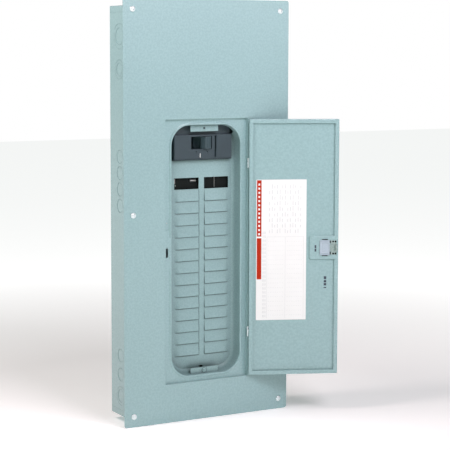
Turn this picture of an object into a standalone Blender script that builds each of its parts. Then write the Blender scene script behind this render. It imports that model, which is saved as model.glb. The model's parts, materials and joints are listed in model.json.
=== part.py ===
"""Residential load center: a wall-hung sheet-steel enclosure with its cover, hinged door,
dead front, main breaker and the bus work behind it.

Frame: X to the right, the front faces -Y, Z up. The origin is the centre of the back face,
where the box meets the wall. Every length below is in millimetres and turned to metres by MM.
Everything on the door is drawn in its closed place and hung on an empty on the hinge axis.
"""
import math

import bmesh
import bpy
from mathutils import Matrix

MM = 0.001

# ---- driving sizes (mm) -------------------------------------------------------------------
BOX_W, BOX_H, BOX_D = 362.0, 858.0, 95.0      # sheet-steel box
SHEET = 1.5                                   # box, cover and dead-front sheet
FLANGE = 15.0                                 # front return flange of the box
COVER_OVER_X, COVER_OVER_Z = 14.5, 14.25      # cover overhang past the box, each side
COVER_R = 5.0                                 # cover corner radius
GAP = 0.3                                     # between pieces that touch
POLE = 25.4                                   # one breaker position
POLES = 15                                    # positions on each side
POLE_TOP = 69.8                               # top of the first position
COL_IN, COL_W = 6.0, 59.0                     # columns of positions: inner edge and width
RECESS_D = 7.0                                # door recess depth
DOOR_T = 5.0                                  # door thickness over its hem
DOOR_GAP = 2.2                                # door to recess
DOOR_OPEN = 157.0                             # degrees the door stands open at rest
TRAY_D = 29.0                                 # dead-front plate behind the cover's face
SCREW_IN_X, SCREW_IN_Z = 7.0, 8.0             # cover screws, in from the box's edges
LATCH_Z = -84.0                               # centre of the latch
LATCH_TRAVEL = 2.3                            # how far the bolt slides out to lock
HINGE_Z = (98.6, -264.8)                      # centres of the two hinges
WALL_HOLE_X, WALL_HOLE_Z, WALL_HOLE_R = 130.0, 370.0, 3.2
SCREW_HEAD_R, SCREW_SHANK_R, SCREW_HOLE_R = 6.0, 2.1, 2.5
PAN_HALF, PAN_Z0, PAN_Z1 = 100.0, -350.0, 245.0
PAN_SHEET, PAN_FOOT = 1.2, 12.0
INSULATOR_HALF, INSULATOR_T = 55.0, 8.0
BUS_X, BUS_W, BUS_T = 13.0, 8.0, 4.0          # bus bar centre, width, thickness
STAB_REACH = 28.0                             # stab fingers in front of the insulator
NEUTRAL_X, NEUTRAL_W = 88.0, 10.0
RAIL_X0, RAIL_X1, RAIL_D = 58.0, 70.2, 26.2
MAIN_THROW = 22.0                             # handle either side of centre, degrees

# ---- derived -------------------------------------------------------------------------------
COVER_W, COVER_H = BOX_W + 2 * COVER_OVER_X, BOX_H + 2 * COVER_OVER_Z
SCREW_X, SCREW_Z = BOX_W / 2 - SCREW_IN_X, BOX_H / 2 - SCREW_IN_Z
FRONT = -(BOX_D + GAP + SHEET)                # cover's front face
OPEN_X0, OPEN_X1 = -82.7, 80.7                # opening in the recess floor
OPEN_Z0, OPEN_Z1 = -348.5, 182.0
OPEN_R = 43.0
REC_X0, REC_X1 = OPEN_X0 - 17.8, OPEN_X1 + 15.6
REC_Z0, REC_Z1 = OPEN_Z0 - 13.0, OPEN_Z1 + 12.8
HINGE_X, HINGE_Y = REC_X1 + 0.3, FRONT - 1.4
DOOR_X0, DOOR_X1 = REC_X0 + DOOR_GAP, REC_X1 - 0.7
DOOR_Z0, DOOR_Z1 = REC_Z0 + DOOR_GAP, REC_Z1 - DOOR_GAP
PLATE_Y = FRONT + TRAY_D                      # front face of the dead-front plate
PAN_Y = -14.0                                 # front face of the interior pan
MAIN_FACE = FRONT + 20.0                      # main breaker's front face
MAIN_X, MAIN_HALF = -1.0, 68.4
MAIN_Z0, MAIN_Z1 = 108.0, 161.0               # main breaker's raised face
STRIKE_X0, STRIKE_X1 = REC_X0 + 5.1, REC_X0 + 9.9

# ---- scene ---------------------------------------------------------------------------------
for old in list(bpy.data.objects):
    bpy.data.objects.remove(old, do_unlink=True)
ROOT = bpy.data.collections.new("residential_load_center")
TOOLS = bpy.data.collections.new("cutters")
bpy.context.scene.collection.children.link(ROOT)
bpy.context.scene.collection.children.link(TOOLS)

PAINT = ((0.52, 0.62, 0.63), 0.48, 0.0)
ZINC = ((0.80, 0.81, 0.80), 0.28, 0.9)
STEEL = ((0.62, 0.63, 0.64), 0.35, 0.9)
TINNED = ((0.72, 0.73, 0.72), 0.38, 0.9)
BLACK = ((0.045, 0.05, 0.055), 0.5, 0.0)
SLATE = ((0.10, 0.12, 0.14), 0.42, 0.0)
LILAC = ((0.72, 0.74, 0.80), 0.4, 0.0)
PAPER = ((0.92, 0.92, 0.90), 0.8, 0.0)
GREEN = ((0.05, 0.35, 0.12), 0.4, 0.3)


def finish(obj, look, tool=False, smooth=True):
    """Put an object in its collection with a material of its own."""
    (TOOLS if tool else ROOT).objects.link(obj)
    if tool:
        obj.hide_render = True
        obj.display_type = "WIRE"
    else:
        colour, rough, metal = look
        mat = bpy.data.materials.new(obj.name)
        mat.use_nodes = True
        bsdf = mat.node_tree.nodes["Principled BSDF"]
        bsdf.inputs["Base Color"].default_value = (*colour, 1.0)
        bsdf.inputs["Roughness"].default_value = rough
        bsdf.inputs["Metallic"].default_value = metal
        obj.data.materials.append(mat)
        if smooth:
            for poly in obj.data.polygons:
                poly.use_smooth = True
            obj.data.set_sharp_from_angle(angle=math.radians(32))
    return obj


def new_object(name, bm, centre):
    """An object at centre (mm) from a bmesh whose coordinates are in mm about that centre."""
    mesh = bpy.data.meshes.new(name)
    bmesh.ops.scale(bm, vec=(MM, MM, MM), verts=bm.verts)
    bm.to_mesh(mesh)
    bm.free()
    obj = bpy.data.objects.new(name, mesh)
    obj.location = [value * MM for value in centre]
    return obj


def box(name, xs, ys, zs, look=None):
    """A block between three pairs of planes."""
    spans = [(min(pair), max(pair)) for pair in (xs, ys, zs)]
    bm = bmesh.new()
    bmesh.ops.create_cube(bm, size=1.0)
    bmesh.ops.scale(bm, vec=[high - low for low, high in spans], verts=bm.verts)
    obj = new_object(name, bm, [(low + high) / 2 for low, high in spans])
    return finish(obj, look, tool=look is None, smooth=False)


TURN = {"X": Matrix.Rotation(math.radians(90), 4, "Y"),
        "Y": Matrix.Rotation(math.radians(-90), 4, "X"),
        "Z": Matrix.Identity(4)}


def cylinder(name, centre, axis, start, end, radius, sides=24):
    """A cutter or a plain shaft: a cylinder about a line through centre, from start to end."""
    bm = bmesh.new()
    bmesh.ops.create_cone(bm, cap_ends=True, segments=sides, radius1=radius, radius2=radius,
                          depth=abs(end - start))
    bmesh.ops.translate(bm, vec=(0, 0, (start + end) / 2), verts=bm.verts)
    bmesh.ops.transform(bm, matrix=TURN[axis], verts=bm.verts)
    return finish(new_object(name, bm, centre), None, tool=True)


def turned(name, centre, axis, steps, look=None, sides=24):
    """A turned piece: its profile, as (distance along the axis, radius), spun by a Screw."""
    profile = [(0.0, steps[0][0])] + [(radius, along) for along, radius in steps]
    profile.append((0.0, steps[-1][0]))
    profile.reverse()
    bm = bmesh.new()
    verts = [bm.verts.new((radius, 0.0, along)) for radius, along in profile]
    for first, second in zip(verts, verts[1:]):
        bm.edges.new((first, second))
    obj = new_object(name, bm, centre)
    spin = obj.modifiers.new("turn", "SCREW")
    spin.axis = "Z"
    spin.steps = spin.render_steps = sides
    spin.use_merge_vertices = True
    spin.merge_threshold = 0.00001
    spin.use_smooth_shade = True
    obj.rotation_euler = TURN[axis].to_euler()
    return finish(obj, look, tool=look is None, smooth=False)


def prism(name, points, zs, look=None, centre=None):
    """A plan outline (x, y) filled as a 2D curve and drawn up between two heights."""
    xs, ys = [p[0] for p in points], [p[1] for p in points]
    cx, cy, cz = centre or ((min(xs) + max(xs)) / 2, (min(ys) + max(ys)) / 2, sum(zs) / 2)
    curve = bpy.data.curves.new(name, "CURVE")
    curve.dimensions = "2D"
    curve.fill_mode = "BOTH"
    curve.extrude = (zs[1] - zs[0]) / 2 * MM
    spline = curve.splines.new("POLY")
    spline.points.add(len(points) - 1)
    for point, (x, y) in zip(spline.points, points):
        point.co = ((x - cx) * MM, (y - cy) * MM, 0.0, 1.0)
    spline.use_cyclic_u = True
    drawn = bpy.data.objects.new(name + "_outline", curve)
    drawn.location = (cx * MM, cy * MM, cz * MM)
    return as_mesh(name, drawn, look)


def as_mesh(name, drawn, look):
    """Turn an outline into a mesh object of the same place, welding its loose caps."""
    TOOLS.objects.link(drawn)
    bpy.context.view_layer.update()
    graph = bpy.context.evaluated_depsgraph_get()
    mesh = bpy.data.meshes.new_from_object(drawn.evaluated_get(graph))
    obj = bpy.data.objects.new(name, mesh)
    obj.matrix_world = drawn.matrix_world.copy()
    bpy.data.objects.remove(drawn, do_unlink=True)
    bm = bmesh.new()
    bm.from_mesh(mesh)
    bmesh.ops.remove_doubles(bm, verts=bm.verts, dist=0.00001)
    bmesh.ops.recalc_face_normals(bm, faces=bm.faces)
    bm.to_mesh(mesh)
    bm.free()
    return finish(obj, look, tool=look is None, smooth=False)


def lofted(name, rings, centre, look=None, loop=False):
    """Skin a run of unlike outlines (mm): capped at both ends, or closed on itself."""
    bm = bmesh.new()
    cx, cy, cz = centre
    rows = [[bm.verts.new((x - cx, y - cy, z - cz)) for x, y, z in ring] for ring in rings]
    for low, high in list(zip(rows, rows[1:])) + ([(rows[-1], rows[0])] if loop else []):
        for i in range(len(low)):
            j = (i + 1) % len(low)
            bm.faces.new((low[i], low[j], high[j], high[i]))
    if not loop:
        bm.faces.new(rows[0][::-1])
        bm.faces.new(rows[-1])
    bmesh.ops.recalc_face_normals(bm, faces=bm.faces)
    return finish(new_object(name, bm, centre), look, tool=look is None)


def rounded(x0, x1, z0, z1, r, y, steps=7):
    """A rounded rectangle facing the front, as a ring at depth y."""
    ring = []
    corners = ((x1 - r, z1 - r, 0), (x0 + r, z1 - r, 90), (x0 + r, z0 + r, 180),
               (x1 - r, z0 + r, 270))
    for cx, cz, start in corners:
        for i in range(steps + 1):
            a = math.radians(start + 90 * i / steps)
            ring.append((cx + r * math.cos(a), y, cz + r * math.sin(a)))
    return ring


def combine(obj, other, operation):
    mod = obj.modifiers.new(other.name, "BOOLEAN")
    mod.operation = operation
    mod.solver = "EXACT"
    mod.object = other


def cut(obj, *others):
    for other in others:
        combine(obj, other, "DIFFERENCE")


def add(obj, *others):
    for other in others:
        combine(obj, other, "UNION")


def soften(obj, width, segments=2, angle=40):
    mod = obj.modifiers.new("edges", "BEVEL")
    mod.width = width * MM
    mod.segments = segments
    mod.limit_method = "ANGLE"
    mod.angle_limit = math.radians(angle)


def many(name, makers):
    """One cutter made of several separate pieces."""
    pieces = [make(f"{name}_{i}") for i, make in enumerate(makers)]
    bpy.context.view_layer.update()
    graph = bpy.context.evaluated_depsgraph_get()
    bm = bmesh.new()
    for piece in pieces:
        mesh = bpy.data.meshes.new_from_object(piece.evaluated_get(graph))
        mesh.transform(piece.matrix_world)
        bm.from_mesh(mesh)
    for piece in pieces:
        bpy.data.objects.remove(piece, do_unlink=True)
    joined = bpy.data.meshes.new(name)
    bm.to_mesh(joined)
    bm.free()
    obj = bpy.data.objects.new(name, joined)
    return finish(obj, None, tool=True)


def screw(name, x, z, seat, end, head_r, head_h, shank_r, look=ZINC, slot=True):
    """A round-headed screw with its axis along Y, its head in front of the seat plane."""
    dome = [(-head_h, head_r * 0.45), (-head_h * 0.86, head_r * 0.74), (-head_h * 0.45, head_r),
            (0.0, head_r), (0.0, shank_r), (end - seat, shank_r)]
    piece = turned(name, (x, seat, z), "Y", dome, look)
    if slot:
        cut(piece, box(name + "_slot", (x - head_r * 1.2, x + head_r * 1.2),
                       (seat - head_h - 1, seat - head_h * 0.52),
                       (z - head_r * 0.11, z + head_r * 0.11)))
    return piece


# ---- 1. enclosure box: a five-sided tray with a front flange turned in all round -----------
hw, hh = BOX_W / 2, BOX_H / 2
shell = box("enclosure_box", (-hw, hw), (-BOX_D, 0), (-hh, hh), PAINT)
cut(shell,
    box("box_inside", (-hw + SHEET, hw - SHEET), (-BOX_D + SHEET, -SHEET),
        (-hh + SHEET, hh - SHEET)),
    box("box_mouth", (-hw + FLANGE, hw - FLANGE), (-BOX_D - 5, -BOX_D + 5),
        (-hh + FLANGE, hh - FLANGE)))

SIDE_KNOCKOUTS = ((366.0, 26.0), (298.0, 20.0), (118.0, 14.0), (84.0, 14.0), (50.0, 14.0),
                  (16.0, 14.0), (-300.0, 14.0), (-340.0, 14.0), (-386.0, 20.0))
END_KNOCKOUTS = ((-142.0, 14.0), (-104.0, 14.0), (-52.0, 20.0), (10.0, 30.0), (72.0, 20.0),
                 (120.0, 14.0))


def knockouts(name, step, depth, least=0.0):
    """Pressed knockout discs on the four walls; the large ones take a second, deeper disc."""
    mid = -BOX_D / 2
    makers = []
    for side in (-1, 1):
        for z, r in SIDE_KNOCKOUTS:
            if r > least:
                makers.append(lambda n, f=side * hw, s=side, z=z, r=r * step: cylinder(
                    n, (f, mid, z), "X", -s * depth, s * 2, r, sides=20))
        for x, r in END_KNOCKOUTS:
            if r > least:
                makers.append(lambda n, f=side * hh, s=side, x=x, r=r * step: cylinder(
                    n, (x, mid, f), "Z", -s * depth, s * 2, r, sides=20))
    return many(name, makers)


cut(shell, knockouts("knockout_outer", 1.0, 0.35), knockouts("knockout_inner", 0.7, 0.7, 15.0))
wall_holes = [lambda n, x=x, z=z: cylinder(n, (x, 0, z), "Y", -4, 2, WALL_HOLE_R)
              for x in (-WALL_HOLE_X, WALL_HOLE_X) for z in (-WALL_HOLE_Z, WALL_HOLE_Z)]
cover_holes = [lambda n, x=x, z=z: cylinder(n, (x * SCREW_X, FRONT, z * SCREW_Z), "Y", -1, 6,
                                            SCREW_HOLE_R)
               for x in (-1, 1) for z in (-1, 0, 1)]
cut(shell, many("wall_holes", wall_holes), many("flange_holes", cover_holes))

# ---- 2. interior pan: a hat-shaped channel that carries everything live --------------------
seat_y, foot_x, t = -(SHEET + GAP), PAN_HALF + PAN_FOOT, PAN_SHEET
half_hat = [(foot_x, seat_y), (PAN_HALF - t, seat_y), (PAN_HALF - t, PAN_Y + t)]
outer_hat = [(PAN_HALF, PAN_Y), (PAN_HALF, seat_y - t), (foot_x, seat_y - t)]
hat = half_hat + [(-x, y) for x, y in half_hat[::-1]]
hat += [(-x, y) for x, y in outer_hat[::-1]] + outer_hat
pan = prism("interior_pan", hat, (PAN_Z0, PAN_Z1), PAINT)
foot_mid = PAN_HALF + PAN_FOOT / 2
foot_screws = [(side, s * foot_mid, end, z) for side, s in (("left", -1), ("right", 1))
               for end, z in (("lower", PAN_Z0 + 50), ("upper", PAN_Z1 - 50))]
cut(pan, many("pan_holes", [lambda n, x=x, z=z: cylinder(n, (x, seat_y, z), "Y", -4, 3, 2.3)
                            for side, x, end, z in foot_screws]))
for side, x, end, z in foot_screws:
    screw(f"pan_screw_{side}_{end}", x, z, seat_y - t - GAP, seat_y, 4.2, 2.6, 2.0)

# ---- 3. bus insulator and the two bus bars with their stabs --------------------------------
base_y = PAN_Y - GAP
pole_z = [POLE_TOP - POLE * (i + 0.5) for i in range(POLES)]
live_z0, live_z1 = pole_z[-1] - 35, POLE_TOP + 26
insulator = box("bus_insulator", (-INSULATOR_HALF, INSULATOR_HALF),
                (base_y - INSULATOR_T, base_y), (live_z0, live_z1), BLACK)
cut(insulator, many("insulator_channels", [
    lambda n, s=s: box(n, (s * 24 - 1.5, s * 24 + 1.5), (base_y - INSULATOR_T - 2,
                                                         base_y - INSULATOR_T + 3),
                       (live_z0 + 9, live_z1 - 9)) for s in (-1, 1)]))
bar_back = base_y - INSULATOR_T - GAP
bar_in, bar_out, tip_y = BUS_X - BUS_W / 2, BUS_X + BUS_W / 2, bar_back - STAB_REACH
for name, side, first in (("bus_bar_a", -1, 0), ("bus_bar_b", 1, 1)):
    bar = box(name, (side * bar_in, side * bar_out), (bar_back - BUS_T, bar_back),
              (pole_z[-1] - 9, MAIN_Z1 + 9), TINNED)
    cross = bar_back - STAB_REACH / 2
    reach = bar_out + 10
    tee = [(-reach, tip_y), (2 - reach, tip_y), (2 - reach, cross - 1.5),
           (reach - 2, cross - 1.5), (reach - 2, tip_y), (reach, tip_y), (reach, cross + 0.5),
           (bar_out, cross + 0.5), (bar_out, bar_back - BUS_T + 1),
           (bar_in, bar_back - BUS_T + 1), (bar_in, cross + 0.5), (-reach, cross + 0.5)]
    tee = [(side * x, y) for x, y in tee]
    add(bar, many(name + "_stabs", [
        lambda n, z=z: prism(n, tee, (z - 7, z + 7)) for z in pole_z[first::2]]))

# ---- 4. neutral bars, their insulators, the strap across, the lugs -------------------------
bar_z0, bar_z1 = PAN_Z0 + 5, POLE_TOP - 8


def terminal_bar(name, xs, ys, zs, count, look, holes_along):
    """A drilled bar with a row of binding screws standing on its front."""
    bar = box(name, xs, ys, zs, look)
    x, (z0, z1) = sum(xs) / 2, zs
    pitch = (z1 - z0) / (count + 1)
    rows = [z0 + pitch * (i + 1) for i in range(count)]
    add(bar, many(name + "_heads", [lambda n, z=z: turned(
        n, (x, ys[0], z), "Y", [(-2.4, 2.6), (-1.8, 3.2), (0.8, 3.2)], sides=12) for z in rows]))
    depth = (ys[0] + ys[1]) / 2 + 1.2
    cut(bar, many(name + "_bores", [lambda n, z=z: cylinder(
        n, (x, depth, z), "X", -holes_along, holes_along, 2.4, sides=12)
        for z in rows]))
    return bar


half_bar = NEUTRAL_W / 2
post_y = base_y - 9                           # front of the neutral bars' insulators
for side, x in (("left", -NEUTRAL_X), ("right", NEUTRAL_X)):
    block = box(f"neutral_insulator_{side}", (x - half_bar - 0.5, x + half_bar + 0.5),
                (post_y, base_y), (bar_z0 + 10, bar_z1 + 40), BLACK)
    soften(block, 0.6, 1)
    terminal_bar(f"neutral_bar_{side}", (x - half_bar, x + half_bar),
                 (post_y - GAP - 11.7, post_y - GAP), (bar_z0 + 18, bar_z1), 14, TINNED, 9)
strap_y = post_y - 12 - GAP
strap_z = (bar_z0 + 1, bar_z0 + 15)
strap = box("neutral_strap", (-NEUTRAL_X - half_bar, NEUTRAL_X + half_bar),
            (strap_y - 2, strap_y), strap_z, TINNED)
for side, x in (("left", -NEUTRAL_X), ("right", NEUTRAL_X)):
    add(strap, box(f"strap_foot_{side}", (x - half_bar, x + half_bar),
                   (strap_y - 1, post_y - GAP), strap_z))
bond_x, bond_z = INSULATOR_HALF + 5, bar_z0 + 8
cut(strap, cylinder("strap_hole", (bond_x, strap_y - 1, bond_z), "Y", -4, 4, 2.9))
screw("bonding_screw", bond_x, bond_z, strap_y - 2 - GAP, base_y, 5.2, 3.2, 2.6, GREEN)


def lug(name, x, ys, zs, half, screw_name, wire_r, screw_r):
    """A cast lug block: the wire goes up through it and a set screw clamps it from the front."""
    block = box(name, (x - half, x + half), ys, zs, TINNED)
    soften(block, 0.9, 2)
    z = (zs[0] + zs[1]) / 2
    wire_y = ys[1] - wire_r - 2.5
    cut(block, cylinder(name + "_wire", (x, wire_y, z), "Z", -40, 40, wire_r),
        cylinder(name + "_tap", (x, ys[0], z), "Y", -3, wire_y - ys[0], screw_r + GAP))
    piece = turned(screw_name, (x, ys[0], z), "Y",
                [(-3.0, screw_r - 0.7), (-2.4, screw_r), (7.0, screw_r)], STEEL)
    cut(piece, cylinder(screw_name + "_hex", (x, ys[0], z), "Y", -4.0, -0.4, screw_r * 0.55, sides=6))


lug("neutral_lug", -NEUTRAL_X, (post_y - 24, post_y - GAP), (bar_z1 + 3, bar_z1 + 33), 10.0,
    "neutral_lug_screw", 6.5, 4.2)
ground_x = foot_x + 18
terminal_bar("ground_bar", (ground_x, ground_x + 11), (seat_y - 12.2, seat_y),
             (PAN_Z0 - 30, PAN_Z0 + 135), 9, TINNED, 9)

# ---- 5. breaker rails -----------------------------------------------------------------------
for side, s in (("left", -1), ("right", 1)):
    rail = [(RAIL_X0, base_y - t), (RAIL_X1 - t, base_y - t), (RAIL_X1 - t, base_y - RAIL_D + t),
            (RAIL_X0 + 4, base_y - RAIL_D + t), (RAIL_X0 + 4, base_y - RAIL_D),
            (RAIL_X1, base_y - RAIL_D), (RAIL_X1, base_y), (RAIL_X0, base_y)]
    prism(f"breaker_rail_{side}", [(s * x, y) for x, y in rail],
          (pole_z[-1] - 18, POLE_TOP + 10), STEEL)

# ---- 6. main breaker ------------------------------------------------------------------------
seat = [(-60, base_y), (-60, base_y - 16), (-22, base_y - 16), (-22, base_y - 5), (22, base_y - 5),
        (22, base_y - 16), (60, base_y - 16), (60, base_y)]
prism("main_breaker_seat", seat, (104, 206), BLACK)
case_back = base_y - 16 - GAP
mx0, mx1 = MAIN_X - MAIN_HALF, MAIN_X + MAIN_HALF
case = box("main_breaker_case", (mx0, mx1), (PLATE_Y + 3, case_back), (104, 212), SLATE)
add(case,
    box("main_face", (mx0, mx1), (MAIN_FACE, PLATE_Y + 6), (MAIN_Z0, MAIN_Z1)),
    box("main_shoulder", (mx0, mx1), (MAIN_FACE + 7, PLATE_Y + 6), (MAIN_Z1 - 4, MAIN_Z1 + 9)))
slot_x, slot_half = MAIN_X - 4.0, 26.0
slot_z0, slot_z1 = 130.5, 157.0
PIVOT_Y = MAIN_FACE + 30.0
cut(case,
    box("handle_slot", (slot_x - slot_half, slot_x + slot_half), (MAIN_FACE - 2, PIVOT_Y + 9),
        (slot_z0, slot_z1)),
    cylinder("handle_bearing", (slot_x, PIVOT_Y, (slot_z0 + slot_z1) / 2), "Z", -18.0, 18.0, 2.05),
    box("case_groove", (slot_x + 33, slot_x + 35.5), (MAIN_FACE - 2, MAIN_FACE + 1.6),
        (MAIN_Z0 + 4, MAIN_Z1 - 4)),
    many("terminal_pockets", [lambda n, x=x: box(n, (x - 13, x + 13), (PLATE_Y - 2, case_back - 2),
                                                 (182, 214)) for x in (-36, 36)]))
turned("main_handle_pin", (slot_x, PIVOT_Y, (slot_z0 + slot_z1) / 2), "Z",
    [(-17.0, 2.0), (17.0, 2.0)], STEEL)

grip = [(-5.0, -8), (-5.5, -20), (-10.5, -23.5), (-9.6, -37), (-8.2, -38), (8.2, -38),
        (9.6, -37), (10.5, -23.5), (5.5, -20), (5.0, -8)]
hub = [(7.0 * math.cos(math.radians(a)), 7.0 * math.sin(math.radians(a)))
       for a in range(-35, 216, 25)]
outline = [(x + slot_x, y + PIVOT_Y) for x, y in grip + hub]
handle = prism("main_breaker_handle", outline, (slot_z0 + 1.0, slot_z1 - 1.0), BLACK,
               centre=(slot_x, PIVOT_Y, (slot_z0 + slot_z1) / 2))
cut(handle, cylinder("handle_bore", (slot_x, PIVOT_Y, (slot_z0 + slot_z1) / 2), "Z", -20, 20, 2.05))
handle.rotation_euler.z = math.radians(MAIN_THROW)   # at rest it is thrown to the right
for side, x in (("left", -36.0), ("right", 36.0)):
    lug(f"main_lug_{side}", x, (PLATE_Y + 9, PLATE_Y + 33), (184, 214), 11.0,
        f"main_lug_screw_{side}", 7.0, 5.0)

# ---- 7. cover: flat sheet, door recess, rounded opening with a raised bead ------------------
cw, ch = COVER_W / 2, COVER_H / 2
cover = lofted("cover_trim", [rounded(-cw, cw, -ch, ch, COVER_R, y, 4)
                                  for y in (FRONT, FRONT + SHEET)], (0, FRONT, 0), PAINT)
floor_y = FRONT + RECESS_D
add(cover, box("recess_pan", (REC_X0 - SHEET, REC_X1 + SHEET), (FRONT + 0.5, floor_y + SHEET),
               (REC_Z0 - SHEET, REC_Z1 + SHEET)))
cut(cover, box("recess_cut", (REC_X0, REC_X1), (FRONT - 5, floor_y), (REC_Z0, REC_Z1)))


def opening(name, grow, y, more_r=0.0):
    return rounded(OPEN_X0 - grow, OPEN_X1 + grow, OPEN_Z0 - grow, OPEN_Z1 + grow,
                   OPEN_R + grow + more_r, y)


bead = lofted("bead", [opening("", -0.01, floor_y + 0.7), opening("", 0.0, floor_y - 0.6),
                           opening("", 0.8, floor_y - 1.3), opening("", 2.2, floor_y - 1.5),
                           opening("", 3.7, floor_y - 1.1), opening("", 4.8, floor_y + 0.7)],
                  (0, floor_y, 0), None, loop=True)
cut(bead, box("bead_gap", (REC_X0, OPEN_X0 + 3), (floor_y - 4, floor_y + 3),
              (LATCH_Z - 29, LATCH_Z + 29)))
cut(cover, lofted("opening_cut", [opening("", 0.0, floor_y - 1), opening("", 0.0, floor_y + 5)],
                      (0, floor_y, 0)))
add(cover, bead)
notches = [lambda n, z=z: box(n, (HINGE_X - 3.0, HINGE_X + 2.8), (FRONT - 2, FRONT + 4.6),
                              (z - 11.4, z + 11.4)) for z in HINGE_Z]
cut(cover, many("cover_holes", cover_holes),
    box("strike_slot", (STRIKE_X0, STRIKE_X1), (floor_y - 3, floor_y + 3),
        (LATCH_Z - 9.6, LATCH_Z + 9.6)),
    many("hinge_notches", notches))
for n_side, sx in (("left", -1), ("right", 1)):
    for n_end, sz in (("upper", 1), ("middle", 0), ("lower", -1)):
        screw(f"cover_screw_{n_side}_{n_end}", sx * SCREW_X, sz * SCREW_Z, FRONT - GAP,
              FRONT + 9.0, SCREW_HEAD_R, 3.4, SCREW_SHANK_R)

# ---- 8. dead front: a deep-drawn tray behind the opening ------------------------------------


def tray(grow, y, shrink_r=0.0):
    return rounded(OPEN_X0 - grow, OPEN_X1 + grow, OPEN_Z0 - grow, OPEN_Z1 + grow,
                   OPEN_R + grow - shrink_r, y)


lip_y = floor_y + SHEET + GAP
skin = 1.2
front_side = [(5.5, lip_y), (0.9, lip_y), (0.2, lip_y + 0.9), (-1.6, lip_y + 8), (-4.2, lip_y + 14),
              (-6.6, PLATE_Y - 2.4), (-9.6, PLATE_Y)]
back_side = [(-9.2, PLATE_Y + skin), (-5.7, PLATE_Y - 1.6), (-3.1, lip_y + 14.6),
             (-0.4, lip_y + 8.2), (1.3, lip_y + skin + 0.8), (5.5, lip_y + skin)]
rings = [tray(g, y) for g, y in front_side[::-1]] + [tray(g, y) for g, y in back_side[::-1]]
dead_front = lofted("dead_front", rings, (0, PLATE_Y, 0), PAINT)
col_x = [(-COL_IN - COL_W, -COL_IN), (COL_IN, COL_IN + COL_W)]
seams = [lambda n, x=x, k=k: box(n, (x[0], x[1]), (PLATE_Y - 1, PLATE_Y + 0.6),
                                 (POLE_TOP - POLE * k - 0.8, POLE_TOP - POLE * k + 0.4))
         for x in col_x for k in range(2, POLES + 1)]
seams += [lambda n, x=x: box(n, (x - 0.3, x + 0.3), (PLATE_Y - 1, PLATE_Y + 0.5),
                             (POLE_TOP - POLE * POLES - 0.8, POLE_TOP - POLE - 4))
          for x in (-COL_IN + 0.8, COL_IN - 0.8)]
cut(dead_front, many("blank_seams", seams),
    many("open_positions", [lambda n, x=x: box(n, (x[0] - 0.4, x[1] - 1.0), (PLATE_Y - 5, PLATE_Y + 5),
                                               (POLE_TOP - POLE + 1.0, POLE_TOP)) for x in col_x]),
    box("main_window", (mx0 - 2.2, mx1 + 2.2), (PLATE_Y - 12, PLATE_Y + 4),
        (MAIN_Z0 - 1.2, OPEN_Z1 - 10.5)))
ear_x = (-34.5, 31.5)
ear_y = (FRONT + 14, FRONT + 15.5)
add(dead_front, box("ear_upper", ear_x, ear_y, (OPEN_Z1 - 14, OPEN_Z1 + 0.6)),
    box("ear_lower", ear_x, ear_y, (OPEN_Z0 - 0.6, OPEN_Z0 + 13)))
EAR_X = sum(ear_x) / 2 - 0.5
cut(dead_front, cylinder("ear_hole_upper", (EAR_X, FRONT + 14, OPEN_Z1 - 7), "Y", -3, 5, 2.4),
    cylinder("ear_hole_lower", (EAR_X, FRONT + 14, OPEN_Z0 + 6.5), "Y", -3, 5, 2.4))
screw("dead_front_screw", EAR_X, OPEN_Z0 + 6.5, FRONT + 14 - GAP, FRONT + 17.5, 4.4, 2.6, 2.0,
      PAINT)

# ---- 9. hinges: cover leaf, door leaf and pin, twice ----------------------------------------
axis = bpy.data.objects.new("door_axis", None)
axis.location = (HINGE_X * MM, HINGE_Y * MM, 0.0)
axis.rotation_euler.z = math.radians(DOOR_OPEN)
ROOT.objects.link(axis)
axis.empty_display_size = 0.03


def hang(obj):
    """Hang a piece drawn in its closed place on the door's hinge axis."""
    obj.parent = axis
    obj.location = (obj.location.x - HINGE_X * MM, obj.location.y - HINGE_Y * MM, obj.location.z)
    return obj


def hang_with_tools(obj):
    for mod in obj.modifiers:
        if mod.type == "BOOLEAN" and mod.object.parent is None:
            hang_with_tools(mod.object)
    return hang(obj)


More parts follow.
